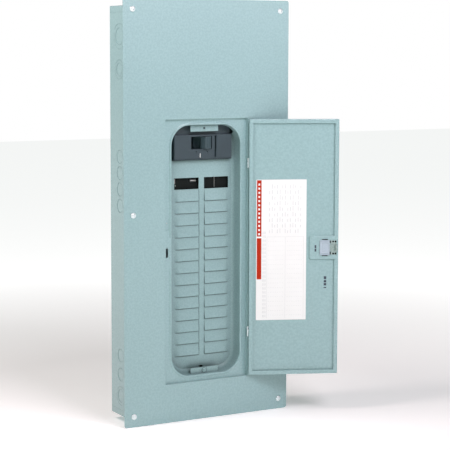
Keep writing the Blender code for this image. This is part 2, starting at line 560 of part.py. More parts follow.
KNUCKLE, PIN = 2.2, 1.15
for end, z in (("upper", HINGE_Z[0]), ("lower", HINGE_Z[1])):
    leaf = box(f"hinge_leaf_cover_{end}", (HINGE_X + 0.4, HINGE_X + 16),
               (FRONT + SHEET + GAP, FRONT + SHEET + GAP + 1.2), (z - 9.7, z + 9.7), STEEL)
    add(leaf, many(f"cover_knuckles_{end}", [
        lambda n, a=a: box(n, (HINGE_X + 0.4, HINGE_X + 2.0), (HINGE_Y, FRONT + SHEET + 1.2),
                           (z + a[0] + 0.2, z + a[1] - 0.2)) for a in ((-9.7, -4.3), (4.3, 9.7))]),
        many(f"cover_rings_{end}", [
            lambda n, a=a: cylinder(n, (HINGE_X, HINGE_Y, z), "Z", a[0], a[1], KNUCKLE)
            for a in ((-9.7, -4.3), (4.3, 9.7))]))
    cut(leaf, box(f"cover_leaf_relief_{end}", (HINGE_X - 5, HINGE_X + 3.2), (FRONT - 5, FRONT + 6),
                  (z - 4.3, z + 4.3)),
        cylinder(f"cover_leaf_bore_{end}", (HINGE_X, HINGE_Y, z), "Z", -14, 14, PIN + 0.06))
    turned(f"hinge_pin_{end}", (HINGE_X, HINGE_Y, z), "Z",
        [(-10.8, 1.2), (-10.6, 1.8), (-9.95, 1.8), (-9.95, PIN), (9.95, PIN), (9.95, 1.8),
         (10.6, 1.8), (10.8, 1.2)], ZINC)
    leaf = box(f"hinge_leaf_door_{end}", (DOOR_X1 - 16, HINGE_X - 0.7), (FRONT + 1.6, FRONT + 2.7),
               (z - 3.9, z + 3.9), STEEL)
    add(leaf, box(f"door_knuckle_arm_{end}", (HINGE_X - 2.1, HINGE_X - 0.7),
                  (HINGE_Y, FRONT + 2.2), (z - 3.7, z + 3.7)),
        cylinder(f"door_knuckle_{end}", (HINGE_X, HINGE_Y, z), "Z", -3.95, 3.95, KNUCKLE))
    cut(leaf, cylinder(f"door_leaf_bore_{end}", (HINGE_X, HINGE_Y, z), "Z", -14, 14, PIN + 0.06))
    hang_with_tools(leaf)

# ---- 10. door: a hemmed pan with a pressed latch pocket -------------------------------------
door = box("door_panel", (DOOR_X0, DOOR_X1), (FRONT, FRONT + DOOR_T), (DOOR_Z0, DOOR_Z1), PAINT)
HEM = 9.0
cut(door,
    box("door_inside", (DOOR_X0 + skin, DOOR_X1 - skin), (FRONT + skin, FRONT + DOOR_T - skin),
        (DOOR_Z0 + skin, DOOR_Z1 - skin)),
    box("door_mouth", (DOOR_X0 + HEM, DOOR_X1 - HEM), (FRONT + 2.5, FRONT + 9),
        (DOOR_Z0 + HEM, DOOR_Z1 - HEM)))
pk_x0, pk_x1 = DOOR_X0 + 21.0, DOOR_X0 + 61.5
add(door, box("pocket_boss", (DOOR_X0 + 0.4, pk_x1 + 1.6), (FRONT + 0.4, FRONT + DOOR_T),
              (LATCH_Z - 25.5, LATCH_Z + 25.5)))
arm_x0, arm_x1 = STRIKE_X0 + 2.7, DOOR_X0 + 27.0
bolt_y0, bolt_y1 = FRONT + DOOR_T - 1.3, FRONT + DOOR_T - 0.1
under_y = FRONT + RECESS_D + SHEET + 2.7      # the hook catches behind the cover's recess floor
cut(door,
    box("finger_pocket", (pk_x0, pk_x1), (FRONT - 2, FRONT + DOOR_T - skin),
        (LATCH_Z - 23.8, LATCH_Z + 23.8)),
    box("latch_window", (pk_x0 + 0.5, pk_x0 + 17), (FRONT + 2, FRONT + 9),
        (LATCH_Z - 8.4, LATCH_Z + 8.4)),
    box("bolt_channel", (DOOR_X0 + 1.6, pk_x0 + 3), (bolt_y0 - 0.4, FRONT + 9),
        (LATCH_Z - 7.3, LATCH_Z + 7.3)),
    many("door_notches", [lambda n, z=z: box(n, (HINGE_X - 3.2, HINGE_X + 2), (FRONT - 2, FRONT + 3.3),
                                             (z - 11.4, z + 11.4)) for z in HINGE_Z]))
hang_with_tools(door)

# ---- 11. latch: finger slide, hooked bolt and the plate that keeps them in ------------------
slide_x0, slide_x1 = DOOR_X0 + 19.2, DOOR_X0 + 41.0
slider = box("latch_slider", (slide_x0, slide_x1), (FRONT + DOOR_T + GAP, FRONT + DOOR_T + 2.4),
             (LATCH_Z - 16.3, LATCH_Z + 16.3), LILAC)
add(slider, box("finger_tab", (arm_x1 + 0.4, arm_x1 + 8.0), (FRONT + 0.6, FRONT + DOOR_T + 1.2),
                (LATCH_Z - 7.6, LATCH_Z + 7.6)))
cut(slider, many("slider_flutes", [
    lambda n, k=k: box(n, (slide_x0 + 3, slide_x1 - 3), (FRONT + DOOR_T + 1.8, FRONT + DOOR_T + 4),
                       (LATCH_Z + k * 5.5 - 0.6, LATCH_Z + k * 5.5 + 0.6)) for k in (-2, 2)]))
hang_with_tools(slider)
hook = [(arm_x0 - LATCH_TRAVEL, under_y), (arm_x0 - LATCH_TRAVEL, under_y + 1.8),
        (arm_x0 + 1.5, under_y + 2.4), (arm_x0 + 1.5, bolt_y1), (arm_x1, bolt_y1),
        (arm_x1, bolt_y0), (arm_x0, bolt_y0), (arm_x0, under_y)]
hang(prism("latch_bolt", hook, (LATCH_Z - 6.9, LATCH_Z + 6.9), ZINC))
keeper = box("latch_keeper", (DOOR_X0 + 7.5, slide_x0 - LATCH_TRAVEL - 0.5),
             (FRONT + DOOR_T + 0.1, FRONT + DOOR_T + 0.7), (LATCH_Z - 15.7, LATCH_Z + 15.7), ZINC)
cut(keeper, many("keeper_holes", [
    lambda n, x=x, z=z: cylinder(n, (DOOR_X0 + x, FRONT + DOOR_T, LATCH_Z + z), "Y", -2, 3, 1.5,
                            sides=16) for x in (9.7, 14.2) for z in (-12.2, 12.2)]))
hang_with_tools(keeper)

# ---- 12. circuit directory on the inside of the door ----------------------------------------
hang(box("directory_card", (HINGE_X - 125.4, HINGE_X - 16.9),
         (FRONT + skin + GAP, FRONT + skin + GAP + 0.4), (-240.3, 63.3), PAPER))
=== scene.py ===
# %% [markdown]
# # A residential load center
# This is the grey-green steel panel on a basement or garage wall: a folded box, a flat cover with
# a hinged door, a deep-drawn dead front that keeps fingers off live metal, a main breaker at the
# top and two columns of twist-out blanks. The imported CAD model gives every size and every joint,
# so we load it first and build each visible piece around it.

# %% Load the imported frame
import json
import math

import bmesh
import bpy
from mathutils import Matrix, Vector


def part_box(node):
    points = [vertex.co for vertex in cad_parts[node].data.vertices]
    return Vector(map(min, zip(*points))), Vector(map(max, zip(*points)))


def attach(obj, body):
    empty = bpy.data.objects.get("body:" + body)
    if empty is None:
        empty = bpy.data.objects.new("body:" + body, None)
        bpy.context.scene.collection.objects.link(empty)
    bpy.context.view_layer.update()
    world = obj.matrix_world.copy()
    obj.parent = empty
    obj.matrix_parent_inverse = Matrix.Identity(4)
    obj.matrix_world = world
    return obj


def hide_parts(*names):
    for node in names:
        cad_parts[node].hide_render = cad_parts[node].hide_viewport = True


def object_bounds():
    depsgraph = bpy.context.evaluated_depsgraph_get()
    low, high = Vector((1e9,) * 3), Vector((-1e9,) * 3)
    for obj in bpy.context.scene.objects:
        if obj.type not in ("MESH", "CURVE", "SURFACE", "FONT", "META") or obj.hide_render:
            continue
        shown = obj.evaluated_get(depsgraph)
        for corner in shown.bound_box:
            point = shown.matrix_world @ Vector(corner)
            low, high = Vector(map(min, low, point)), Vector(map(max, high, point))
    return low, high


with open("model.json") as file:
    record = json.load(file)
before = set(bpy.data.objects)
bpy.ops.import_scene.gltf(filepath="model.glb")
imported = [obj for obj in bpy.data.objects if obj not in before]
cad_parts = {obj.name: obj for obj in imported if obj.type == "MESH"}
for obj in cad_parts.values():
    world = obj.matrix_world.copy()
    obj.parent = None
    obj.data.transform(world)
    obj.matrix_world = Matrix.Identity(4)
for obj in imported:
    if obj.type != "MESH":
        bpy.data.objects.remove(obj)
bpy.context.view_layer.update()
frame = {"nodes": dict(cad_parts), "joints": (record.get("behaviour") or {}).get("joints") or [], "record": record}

# %% [markdown]
# ## Sizes
# Sheet-metal work is drawn in millimetres, so this lesson is too; MM turns a number into metres
# when a mesh is made. The outside sizes are read from the frame. The door was drawn shut, and it
# hangs on a hinge whose place and axis the record gives, so we can draw our door shut as well.

# %% Read the outside sizes, name the rest
MM = 0.001


def extent(node):
    """Low and high corner of a CAD node, in millimetres."""
    low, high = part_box(node)
    return low / MM, high / MM


cover_low, cover_high = extent("cover_trim")
box_low, box_high = extent("enclosure_box")
main_low, main_high = extent("main_breaker_case")
FRONT = cover_low.y                            # front face of the cover
SHEET = 1.5                                    # gauge of the box and the cover
FLOOR = FRONT + 7.0                            # floor of the door recess
PLATE = FRONT + 29.0                           # front of the dead-front plate
SKIN = 1.2                                     # gauge of the door and the dead front
OPENING = (-82.7, 80.7, -348.5, 182.0)         # x0, x1, z0, z1 of the rounded opening
OPENING_R = 43.0
RECESS = (OPENING[0] - 17.8, OPENING[1] + 15.6, OPENING[2] - 13.0, OPENING[3] + 12.8)
DOOR = (RECESS[0] + 2.2, RECESS[1] - 0.7, RECESS[2] + 2.2, RECESS[3] - 2.2)
DOOR_T = 5.0
POLE, POLES, POLE_TOP = 25.4, 15, 69.8         # one breaker position, how many, top of the first
COLUMNS = ((-65.0, -6.0), (6.0, 65.0))         # x span of the two columns
LATCH_Z = -84.0
joints = {joint["name"]: joint for joint in frame["joints"]}
print("cover", [round(v, 1) for v in cover_high - cover_low], "front at", round(FRONT, 1))
print("joints:", sorted(joints))

# %% [markdown]
# ## Mesh helpers
# Pressed sheet steel is a stack of rounded rectangles: each ring is a little larger or smaller
# and a little deeper than the one before. If every ring has the same number of points, the rings
# can be sewn together with quads, and the corners stay smooth without any subdivision.

# %% Rings and lofts
CORNER_STEPS = 12


def ring(rect, grow, radius, y, stops=()):
    """Rounded rectangle in the XZ plane; stops adds points along its left side at given heights."""
    x0, x1, z0, z1 = rect[0] - grow, rect[1] + grow, rect[2] - grow, rect[3] + grow
    r = max(radius + grow, 0.4)
    points = []
    corners = ((x1 - r, z0 + r, -90), (x1 - r, z1 - r, 0), (x0 + r, z1 - r, 90),
               (x0 + r, z0 + r, 180))
    for index, (cx, cz, start) in enumerate(corners):
        for step in range(CORNER_STEPS + 1):
            a = math.radians(start + 90 * step / CORNER_STEPS)
            points.append((cx + r * math.cos(a), y, cz + r * math.sin(a)))
        if index == 2:
            points += [(x0, y, z) for z in stops]
    return points


def new_piece(name, bm):
    """A linked object from a bmesh drawn in millimetres."""
    bmesh.ops.recalc_face_normals(bm, faces=bm.faces)
    bmesh.ops.scale(bm, vec=(MM, MM, MM), verts=bm.verts)
    mesh = bpy.data.meshes.new(name)
    bm.to_mesh(mesh)
    bm.free()
    piece = bpy.data.objects.new(name, mesh)
    bpy.context.scene.collection.objects.link(piece)
    return piece


def loft(name, rings, loop=False, caps=True):
    """Sew rings of equal count into a skin: a closed tube (loop) or a capped solid."""
    bm = bmesh.new()
    rows = [[bm.verts.new(p) for p in points] for points in rings]
    for a, b in list(zip(rows, rows[1:])) + ([(rows[-1], rows[0])] if loop else []):
        for i, corner in enumerate(a):
            j = (i + 1) % len(a)
            bm.faces.new((corner, a[j], b[j], b[i]))
    if caps and not loop:
        bm.faces.new(rows[0])
        bm.faces.new(rows[-1][::-1])
    return new_piece(name, bm)


def bend(cx, cy, r, start, end, steps=4):
    """Points (inset, depth) along a press-brake bend, angles in degrees."""
    return [(cx + r * math.cos(math.radians(start + (end - start) * k / steps)),
             cy + r * math.sin(math.radians(start + (end - start) * k / steps)))
            for k in range(steps + 1)]


# %% [markdown]
# The other shapes follow the machines that make such parts: an outline punched out and pushed
# along an axis, a milled or moulded block with its edges rounded, a bar turned on a lathe. A cube
# scaled by hand would do for a block, but its edges would catch no light.

# %% Blocks, extrusions and turned parts
AXES = {"X": lambda u, v, w: (w, u, v),
        "Y": lambda u, v, w: (u, w, v),
        "Z": lambda u, v, w: (u, v, w)}


def about(middle, half):
    """A span centred on a value."""
    return middle - half, middle + half


def extrude(name, outline, axis, start, end):
    """A flat outline pushed along an axis. u, v are (y, z), (x, z) or (x, y) in that order."""
    to_xyz = AXES[axis]
    return loft(name, [[to_xyz(u, v, w) for u, v in outline] for w in (start, end)])


def block(name, xs, ys, zs, edge=0.0, steps=3):
    """A block whose edges are rounded off, as every moulded or machined block is."""
    bm = bmesh.new()
    bmesh.ops.create_cube(bm, size=1.0)
    spans = [(min(pair), max(pair)) for pair in (xs, ys, zs)]
    bmesh.ops.scale(bm, vec=[high - low for low, high in spans], verts=bm.verts)
    bmesh.ops.translate(bm, vec=[(low + high) / 2 for low, high in spans], verts=bm.verts)
    if edge:
        bmesh.ops.bevel(bm, geom=bm.edges[:], offset=edge, segments=steps, profile=0.5,
                        affect="EDGES")
    return new_piece(name, bm)


def rod(axis, u, v, r, start, end, sides=24):
    """A round bar along an axis: a pin, or the drill for a hole."""
    turns = [2 * math.pi * k / sides for k in range(sides)]
    outline = [(u + r * math.cos(a), v + r * math.sin(a)) for a in turns]
    return extrude("rod", outline, axis, start, end)


def settle(piece):
    """Make the modifiers' result the piece's own mesh."""
    bpy.context.view_layer.update()
    seen = piece.evaluated_get(bpy.context.evaluated_depsgraph_get())
    mesh = bpy.data.meshes.new_from_object(seen)
    piece.modifiers.clear()
    piece.data = mesh
    return piece


def turned(name, centre, axis, profile, steps=40):
    """A lathe-turned piece: (along, radius) pairs spun by the Screw modifier, then aimed."""
    bm = bmesh.new()
    verts = [bm.verts.new((r, 0.0, along)) for along, r in profile]
    for a, b in zip(verts, verts[1:]):
        bm.edges.new((a, b))
    piece = new_piece(name, bm)
    spin = piece.modifiers.new("spin", "SCREW")
    spin.steps = spin.render_steps = steps
    spin.use_merge_vertices, spin.merge_threshold = True, 1e-6
    settle(piece)
    aim = {"Y": Matrix.Rotation(math.radians(-90), 4, "X"), "Z": Matrix.Identity(4)}[axis]
    piece.data.transform(Matrix.Translation(Vector(centre) * MM) @ aim)
    bm = bmesh.new()
    bm.from_mesh(piece.data)
    bmesh.ops.recalc_face_normals(bm, faces=bm.faces)
    bm.to_mesh(piece.data)
    bm.free()
    return piece


# %% [markdown]
# Holes and slots are cut with Boolean modifiers, as a punch or a mill would cut them, and welded
# parts are united the same way. Cutters that don't touch are bundled into one mesh first, because
# one Boolean with fifty discs is far quicker than fifty Booleans.

# %% Joining, carving and rounding
def bundle(pieces):
    """One mesh out of several that don't touch."""
    bm = bmesh.new()
    for piece in pieces:
        bm.from_mesh(piece.data)
    first = pieces[0]
    for piece in pieces[1:]:
        bpy.data.objects.remove(piece, do_unlink=True)
    bm.to_mesh(first.data)
    bm.free()
    return first


def combine(piece, tools, operation):
    """Apply one Boolean per tool, then throw the tools away."""
    for tool in tools:
        step = piece.modifiers.new(operation, "BOOLEAN")
        step.operation, step.solver, step.object = operation, "EXACT", tool
    settle(piece)
    for tool in tools:
        bpy.data.objects.remove(tool, do_unlink=True)
    return piece


def carve(piece, *tools):
    return combine(piece, tools, "DIFFERENCE")


def weld(piece, *tools):
    return combine(piece, tools, "UNION")


def ease(piece, width, steps=2, angle=38):
    """Round every edge sharper than the angle, by a width in millimetres."""
    edge = piece.modifiers.new("ease", "BEVEL")
    edge.width, edge.segments, edge.limit_method = width * MM, steps, "ANGLE"
    edge.angle_limit = math.radians(angle)
    edge.use_clamp_overlap = True
    return settle(piece)


def thicken(skin, ring_size, facing, gauge):
    """Close a skin's last ring, turn that end to look along facing * Y, and add the gauge."""
    bm = bmesh.new()
    bm.from_mesh(skin.data)
    bm.verts.ensure_lookup_table()
    end = bm.faces.new(bm.verts[:][-ring_size:])
    bmesh.ops.recalc_face_normals(bm, faces=bm.faces)
    end.normal_update()
    if end.normal.y * facing < 0:
        bmesh.ops.reverse_faces(bm, faces=bm.faces)
    bm.to_mesh(skin.data)
    bm.free()
    sheet = skin.modifiers.new("gauge", "SOLIDIFY")
    sheet.thickness, sheet.offset, sheet.use_even_offset = gauge * MM, -1.0, True
    return settle(skin)


def place(piece, body, slot, look, *nodes, angle=34):
    """Give the piece its finish, shade it, and let it ride on its body."""
    piece.data.materials.clear()
    piece.data.materials.append(look)
    for face in piece.data.polygons:
        face.use_smooth, face.material_index = True, 0
    piece.data.set_sharp_from_angle(angle=math.radians(angle))
    level = piece.modifiers.new("level", "WEIGHTED_NORMAL")
    level.keep_sharp, level.weight = True, 50
    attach(piece, body)
    if nodes:
        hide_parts(*nodes)
    size = [round(v / MM, 1) for v in piece.dimensions]
    print(f"{piece.name}: {len(piece.data.polygons)} faces, {size} mm, on {body}")
    return piece


# %% [markdown]
# ## Finishes
# Every finish starts from the object's own coordinates, so it stays with the piece when the door
# swings. Three layers are enough for most of them: a slow drift of colour, a fine grain that
# shows as relief, and a roughness that wanders. What changes from paint to zinc to moulded
# plastic is how strong each layer is and how large its features are. A number that is the same
# all over is dialled straight into the shader.

# %% A recipe for layered finishes
def dial(node, numbers):
    """Set a node's inputs by their names."""
    for name, number in numbers.items():
        node.inputs[name].default_value = number
    return node


def plug(tree, source, socket, target, name):
    """Join a named output to a named input."""
    tree.links.new(source.outputs[socket], target.inputs[name])


def noise(tree, place_at, scale, detail=2.0, roughness=0.5):
    """A cloud of soft grains; scale counts them in a metre."""
    grain = dial(tree.nodes.new("ShaderNodeTexNoise"),
                 {"Scale": scale, "Detail": detail, "Roughness": roughness})
    tree.links.new(place_at, grain.inputs["Vector"])
    return grain


def blend_colours(tree, factor, low, high):
    """A colour between two, by the factor; either may be a number triple or a socket."""
    mix = tree.nodes.new("ShaderNodeMix")
    mix.data_type = "RGBA"
    tree.links.new(factor, mix.inputs["Factor"])
    for socket, colour in ((mix.inputs[6], low), (mix.inputs[7], high)):
        if isinstance(colour, (tuple, list)):
            socket.default_value = (*colour, 1.0)
        else:
            tree.links.new(colour, socket)
    return mix.outputs[2]


def remap(tree, value, low, high, start=0.3, end=0.7):
    """Stretch start..end of a value to low..high."""
    span = dial(tree.nodes.new("ShaderNodeMapRange"),
                {"From Min": start, "From Max": end, "To Min": low, "To Max": high})
    tree.links.new(value, span.inputs["Value"])
    return span.outputs["Result"]


def paint_crevice_shade(tree, colour, reach, shade):
    """Painted shade: the colour is darkened where the surface is hemmed in, as in a groove or a corner."""
    closed_in = dial(tree.nodes.new("ShaderNodeAmbientOcclusion"), {"Distance": reach})
    closed_in.samples = 8
    darker = dial(tree.nodes.new("ShaderNodeMix"), {"Factor": 1.0})
    darker.data_type, darker.blend_type = "RGBA", "MULTIPLY"
    tree.links.new(colour, darker.inputs[6])
    level = remap(tree, closed_in.outputs["AO"], shade, 1.0, 0.35, 0.95)
    tree.links.new(level, darker.inputs[7])
    return darker.outputs[2]


def surface(name, shades, rough, metal=0.0, drift=4.0, grain=400.0, relief=0.0001, speck=0.0,
            stretch=(1, 1, 1), coat=0.0, painted_crevice_shade=None, gloss=0.5):
    """shades: the darker and the lighter colour; rough: lowest and highest; relief in metres;
    painted_crevice_shade: reach and level of the painted shade in hollows.
    """
    look = bpy.data.materials.new(name)
    look.use_nodes = True
    tree = look.node_tree
    shader = tree.nodes["Principled BSDF"]
    where = tree.nodes.new("ShaderNodeTexCoord")
    along = dial(tree.nodes.new("ShaderNodeMapping"), {"Scale": stretch})
    plug(tree, where, "Object", along, "Vector")
    at = along.outputs["Vector"]
    slow = noise(tree, at, drift, 3.0)
    fine = noise(tree, at, grain, 2.0)
    shade = blend_colours(tree, remap(tree, slow.outputs["Fac"], 0.0, 1.0), *shades)
    if speck:
        dots = noise(tree, at, grain * 0.62, 1.0)
        dark = [channel * (1 - speck) for channel in shades[0]]
        light = [min(channel * (1 + speck), 1.0) for channel in shades[1]]
        spots = blend_colours(tree, remap(tree, dots.outputs["Fac"], 0.0, 1.0, 0.35, 0.65),
                              dark, light)
        half = dial(tree.nodes.new("ShaderNodeMix"), {"Factor": 0.5})
        half.data_type = "RGBA"
        tree.links.new(shade, half.inputs[6])
        tree.links.new(spots, half.inputs[7])
        shade = half.outputs[2]
    # Painted shade: hollows, grooves and corners are darkened in the colour itself.
    if painted_crevice_shade:
        shade = paint_crevice_shade(tree, shade, *painted_crevice_shade)
    tree.links.new(shade, shader.inputs["Base Color"])
    tree.links.new(remap(tree, slow.outputs["Fac"], *rough), shader.inputs["Roughness"])
    dial(shader, {"Metallic": metal, "Specular IOR Level": gloss, "Coat Weight": coat,
                  "Coat Roughness": 0.25})
    ripple = dial(tree.nodes.new("ShaderNodeBump"), {"Strength": 0.6, "Distance": relief})
    plug(tree, fine, "Fac", ripple, "Height")
    plug(tree, ripple, "Normal", shader, "Normal")
    return look


# %% [markdown]
# The box and cover are powder coated: a light blue-grey-green satin enamel with a faint orange
# peel, a ripple about two millimetres across. The hardware is zinc plated, the breaker rails are
# bare rolled steel with streaks along the roll, the bus work is tin plated and matt, and the
# mouldings are slate-grey and black plastic with a fine spark-eroded grain.

# %% Make the finishes
# Both enamels paint shade into their colour in hollows and corners, the tray's far more strongly and widely.
enamel = surface("powder_enamel", ((0.266, 0.422, 0.438), (0.296, 0.458, 0.472)), (0.36, 0.46),
                 drift=3.0, grain=430.0, relief=0.00034, speck=0.06, coat=0.80,
                 painted_crevice_shade=(0.0025, 0.90))
tray_enamel = surface("tray_enamel", ((0.255, 0.400, 0.412), (0.290, 0.440, 0.450)),
                      (0.42, 0.52), drift=14.0, grain=520.0, relief=0.0002, speck=0.05,
                      painted_crevice_shade=(0.050, 0.36))
zinc = surface("bright_zinc", ((0.76, 0.85, 0.88), (0.90, 0.95, 0.96)), (0.24, 0.38), metal=0.55,
               drift=160.0, grain=1500.0, relief=0.00004)
rolled = surface("rolled_steel", ((0.42, 0.43, 0.43), (0.60, 0.61, 0.61)), (0.28, 0.46),
                 metal=0.9, drift=60.0, grain=700.0, relief=0.00005, stretch=(1, 1, 0.06))
tin = surface("tin_plate", ((0.58, 0.59, 0.58), (0.74, 0.75, 0.73)), (0.34, 0.52), metal=0.85,
              drift=110.0, grain=900.0, relief=0.00005, speck=0.06)
# Near-black, darker than the black moulding: partly the insulator's own black, partly painted shade for the open
# positions and the keeper's holes.
black_shade_look = surface("shroud_moulding_and_shade", ((0.004, 0.006, 0.006), (0.008, 0.011, 0.011)),
                      (0.60, 0.72), drift=50.0, grain=1800.0, relief=0.00007, speck=0.12,
                      gloss=0.15)
keeper_look = surface("keeper_zinc", ((0.20, 0.29, 0.28), (0.50, 0.60, 0.58)), (0.28, 0.42),
                      metal=0.55, drift=240.0, grain=1500.0, relief=0.00005, speck=0.15)
slate = surface("slate_moulding", ((0.027, 0.047, 0.059), (0.036, 0.061, 0.074)), (0.40, 0.55),
                drift=40.0, grain=1700.0, relief=0.00008, speck=0.10)
black = surface("black_moulding", ((0.012, 0.017, 0.019), (0.020, 0.026, 0.029)), (0.38, 0.52),
                drift=50.0, grain=1800.0, relief=0.00007, speck=0.12)
handle_look = surface("handle_moulding", ((0.046, 0.074, 0.088), (0.060, 0.094, 0.108)),
                      (0.30, 0.42), drift=60.0, grain=1800.0, relief=0.00006, speck=0.08)
lilac = surface("pale_moulding", ((0.37, 0.46, 0.53), (0.44, 0.52, 0.59)), (0.34, 0.46),
                drift=80.0, grain=1500.0, relief=0.00006, speck=0.03)
paper = surface("label_stock", ((0.83, 0.84, 0.83), (0.87, 0.88, 0.875)), (0.70, 0.82),
                drift=30.0, grain=2600.0, relief=0.00003, speck=0.01)
red_ink = surface("red_ink", ((0.42, 0.022, 0.004), (0.48, 0.030, 0.006)), (0.60, 0.72),
                  drift=60.0, grain=2200.0, relief=0.00002, speck=0.06, gloss=0.15)
grey_ink = surface("grey_ink", ((0.52, 0.55, 0.56), (0.62, 0.64, 0.65)), (0.60, 0.72),
                   drift=300.0, grain=2400.0, relief=0.00002, speck=0.10)
dark_ink = surface("dark_ink", ((0.02, 0.03, 0.05), (0.05, 0.07, 0.10)), (0.55, 0.70),
                   drift=500.0, grain=2400.0, relief=0.00002, speck=0.25)
green_dye = surface("green_dye", ((0.03, 0.24, 0.08), (0.05, 0.34, 0.12)), (0.28, 0.40), metal=0.5,
                    drift=180.0, grain=1400.0, relief=0.00004)
print("finishes:", len([m for m in bpy.data.materials if m.use_nodes]))

# %% [markdown]
# ## The box
# The real box is one blank folded up on a press brake, with a flange turned in at the front that
# the cover screws to. A cube would show knife edges. We sew rings along the path a finger would
# trace from the flange, round the bend, down the wall and round to the back, close the last ring
# for the back, and let Solidify give the skin its gauge.

# %% Fold the box
box_rect = (box_low.x, box_high.x, box_low.z, box_high.z)
mouth, back = box_low.y, box_high.y
BEND = 1.9
path = [(15.0, mouth)] + [(d, y) for d, y in bend(BEND, mouth + BEND, BEND, -90, -180)]
path += [(d, y) for d, y in bend(BEND, back - BEND, BEND, 180, 90)]
box_rings = [ring(box_rect, -inset, 2.2, y) for inset, y in path]
folded = thicken(loft("folded_box", box_rings, caps=False), len(box_rings[0]), 1, SHEET)
print("box skin:", len(folded.data.polygons), "faces")

# %% [markdown]
# Knockouts are discs sheared almost through the wall and held by two small ties, so that a fitter
# can punch out the size the conduit needs. Each one shows as a fine broken circle, and the large
# ones as two circles, one in the other. We cut them as arc-shaped grooves, all in one Boolean.

# %% Knockouts, wall holes and screw holes
WALL_MID = (mouth + back) / 2
SIDE_KNOCKOUTS = ((366.0, 26.0), (298.0, 20.0), (118.0, 14.0), (84.0, 14.0), (50.0, 14.0),
                  (16.0, 14.0), (-300.0, 14.0), (-340.0, 14.0), (-386.0, 20.0))
END_KNOCKOUTS = ((-142.0, 14.0), (-104.0, 14.0), (-52.0, 20.0), (10.0, 30.0), (72.0, 20.0),
                 (120.0, 14.0))
BACK_KNOCKOUTS = ((-60.0, 300.0, 20.0), (60.0, 300.0, 20.0), (0.0, -330.0, 20.0))
GROOVE_W, GROOVE_DEEP, PRESSED_IN = 0.9, 0.8, 0.35


def broken_circle(u, v, r, width, turn, tie=14.0, steps=20):
    """Two arcs that leave a tie at each end; turn aims the ties."""
    arcs = []
    for first in (turn + tie / 2, turn + 180 + tie / 2):
        sweep = [math.radians(first + (180 - tie) * k / steps) for k in range(steps + 1)]
        outer = [(u + (r + width / 2) * math.cos(a), v + (r + width / 2) * math.sin(a))
                 for a in sweep]
        inner = [(u + (r - width / 2) * math.cos(a), v + (r - width / 2) * math.sin(a))
                 for a in sweep]
        arcs.append(outer + inner[::-1])
    return arcs


def knockout(axis, u, v, r, plane, inward):
    """The grooves of one knockout and its pressed-in centre, as cutters."""
    radii = (r, r * 0.68) if r > 15 else (r,)
    grooves = [extrude("groove", arc, axis, plane - inward, plane + GROOVE_DEEP * inward)
               for turn, radius in zip((25.0, 110.0), radii)
               for arc in broken_circle(u, v, radius, GROOVE_W, turn)]
    return grooves, rod(axis, u, v, radii[-1] - GROOVE_W, plane - inward,
                        plane + PRESSED_IN * inward, 40)


SIDES = ((1, box_low.x), (-1, box_high.x))     # which way is inward, and where the wall is
ENDS = ((1, box_low.z), (-1, box_high.z))
places = [("X", WALL_MID, z, r, wall, side) for side, wall in SIDES for z, r in SIDE_KNOCKOUTS]
places += [("Z", x, WALL_MID, r, wall, side) for side, wall in ENDS for x, r in END_KNOCKOUTS]
places += [("Y", x, z, r, back, -1) for x, z, r in BACK_KNOCKOUTS]
cutters = [knockout(*where) for where in places]
grooves = [groove for pair, _ in cutters for groove in pair]
spots = [rod("X", y, z, 3.0, wall - side, wall + 0.25 * side, 20) for side, wall in SIDES
         for y in (-18, -48, -78) for z in (box_low.z + 7, box_high.z - 7)]
seams = [block("seam", (wall - side, wall + 0.5 * side), (mouth + 3, back - 3), about(z, 0.25))
         for side, wall in SIDES for z in (box_low.z + 13.5, box_high.z - 13.5)]
wall_holes = [rod("Y", x, z, 3.2, -4, 2, 32) for x in (-130.0, 130.0) for z in (-370.0, 370.0)]
SCREWS = [(sx * (box_high.x - 7.0), sz * (box_high.z - 8.0)) for sx in (-1, 1) for sz in (-1, 0, 1)]
flange_holes = [rod("Y", x, z, 2.5, mouth - 2, mouth + 5) for x, z in SCREWS]
count = len(grooves)
carve(folded, bundle(grooves), bundle([disc for _, disc in cutters]), bundle(spots), bundle(seams),
      bundle(wall_holes + flange_holes))
ease(folded, 0.15, steps=1, angle=50)
place(folded, "enclosure", "paint", enamel, "enclosure_box")
print("grooves cut:", count)

# %% [markdown]
# ## The cover
# One flat sheet with a shallow recess for the door and, in its floor, a rounded opening whose lip
# is rolled into a raised bead to stiffen it. The whole cross-section is one closed path of rings:
# along the front from the outer edge to the opening and back along the rear. The bead is pressed
# flat beside the latch, so the rings get extra points there and we lower just those.

# %% Press the cover
cover_rect = (cover_low.x, cover_high.x, cover_low.z, cover_high.z)
FLAT_STOPS = (-46.0, -54.5, -113.5, -122.0)    # where the bead fades, is flat, and comes back


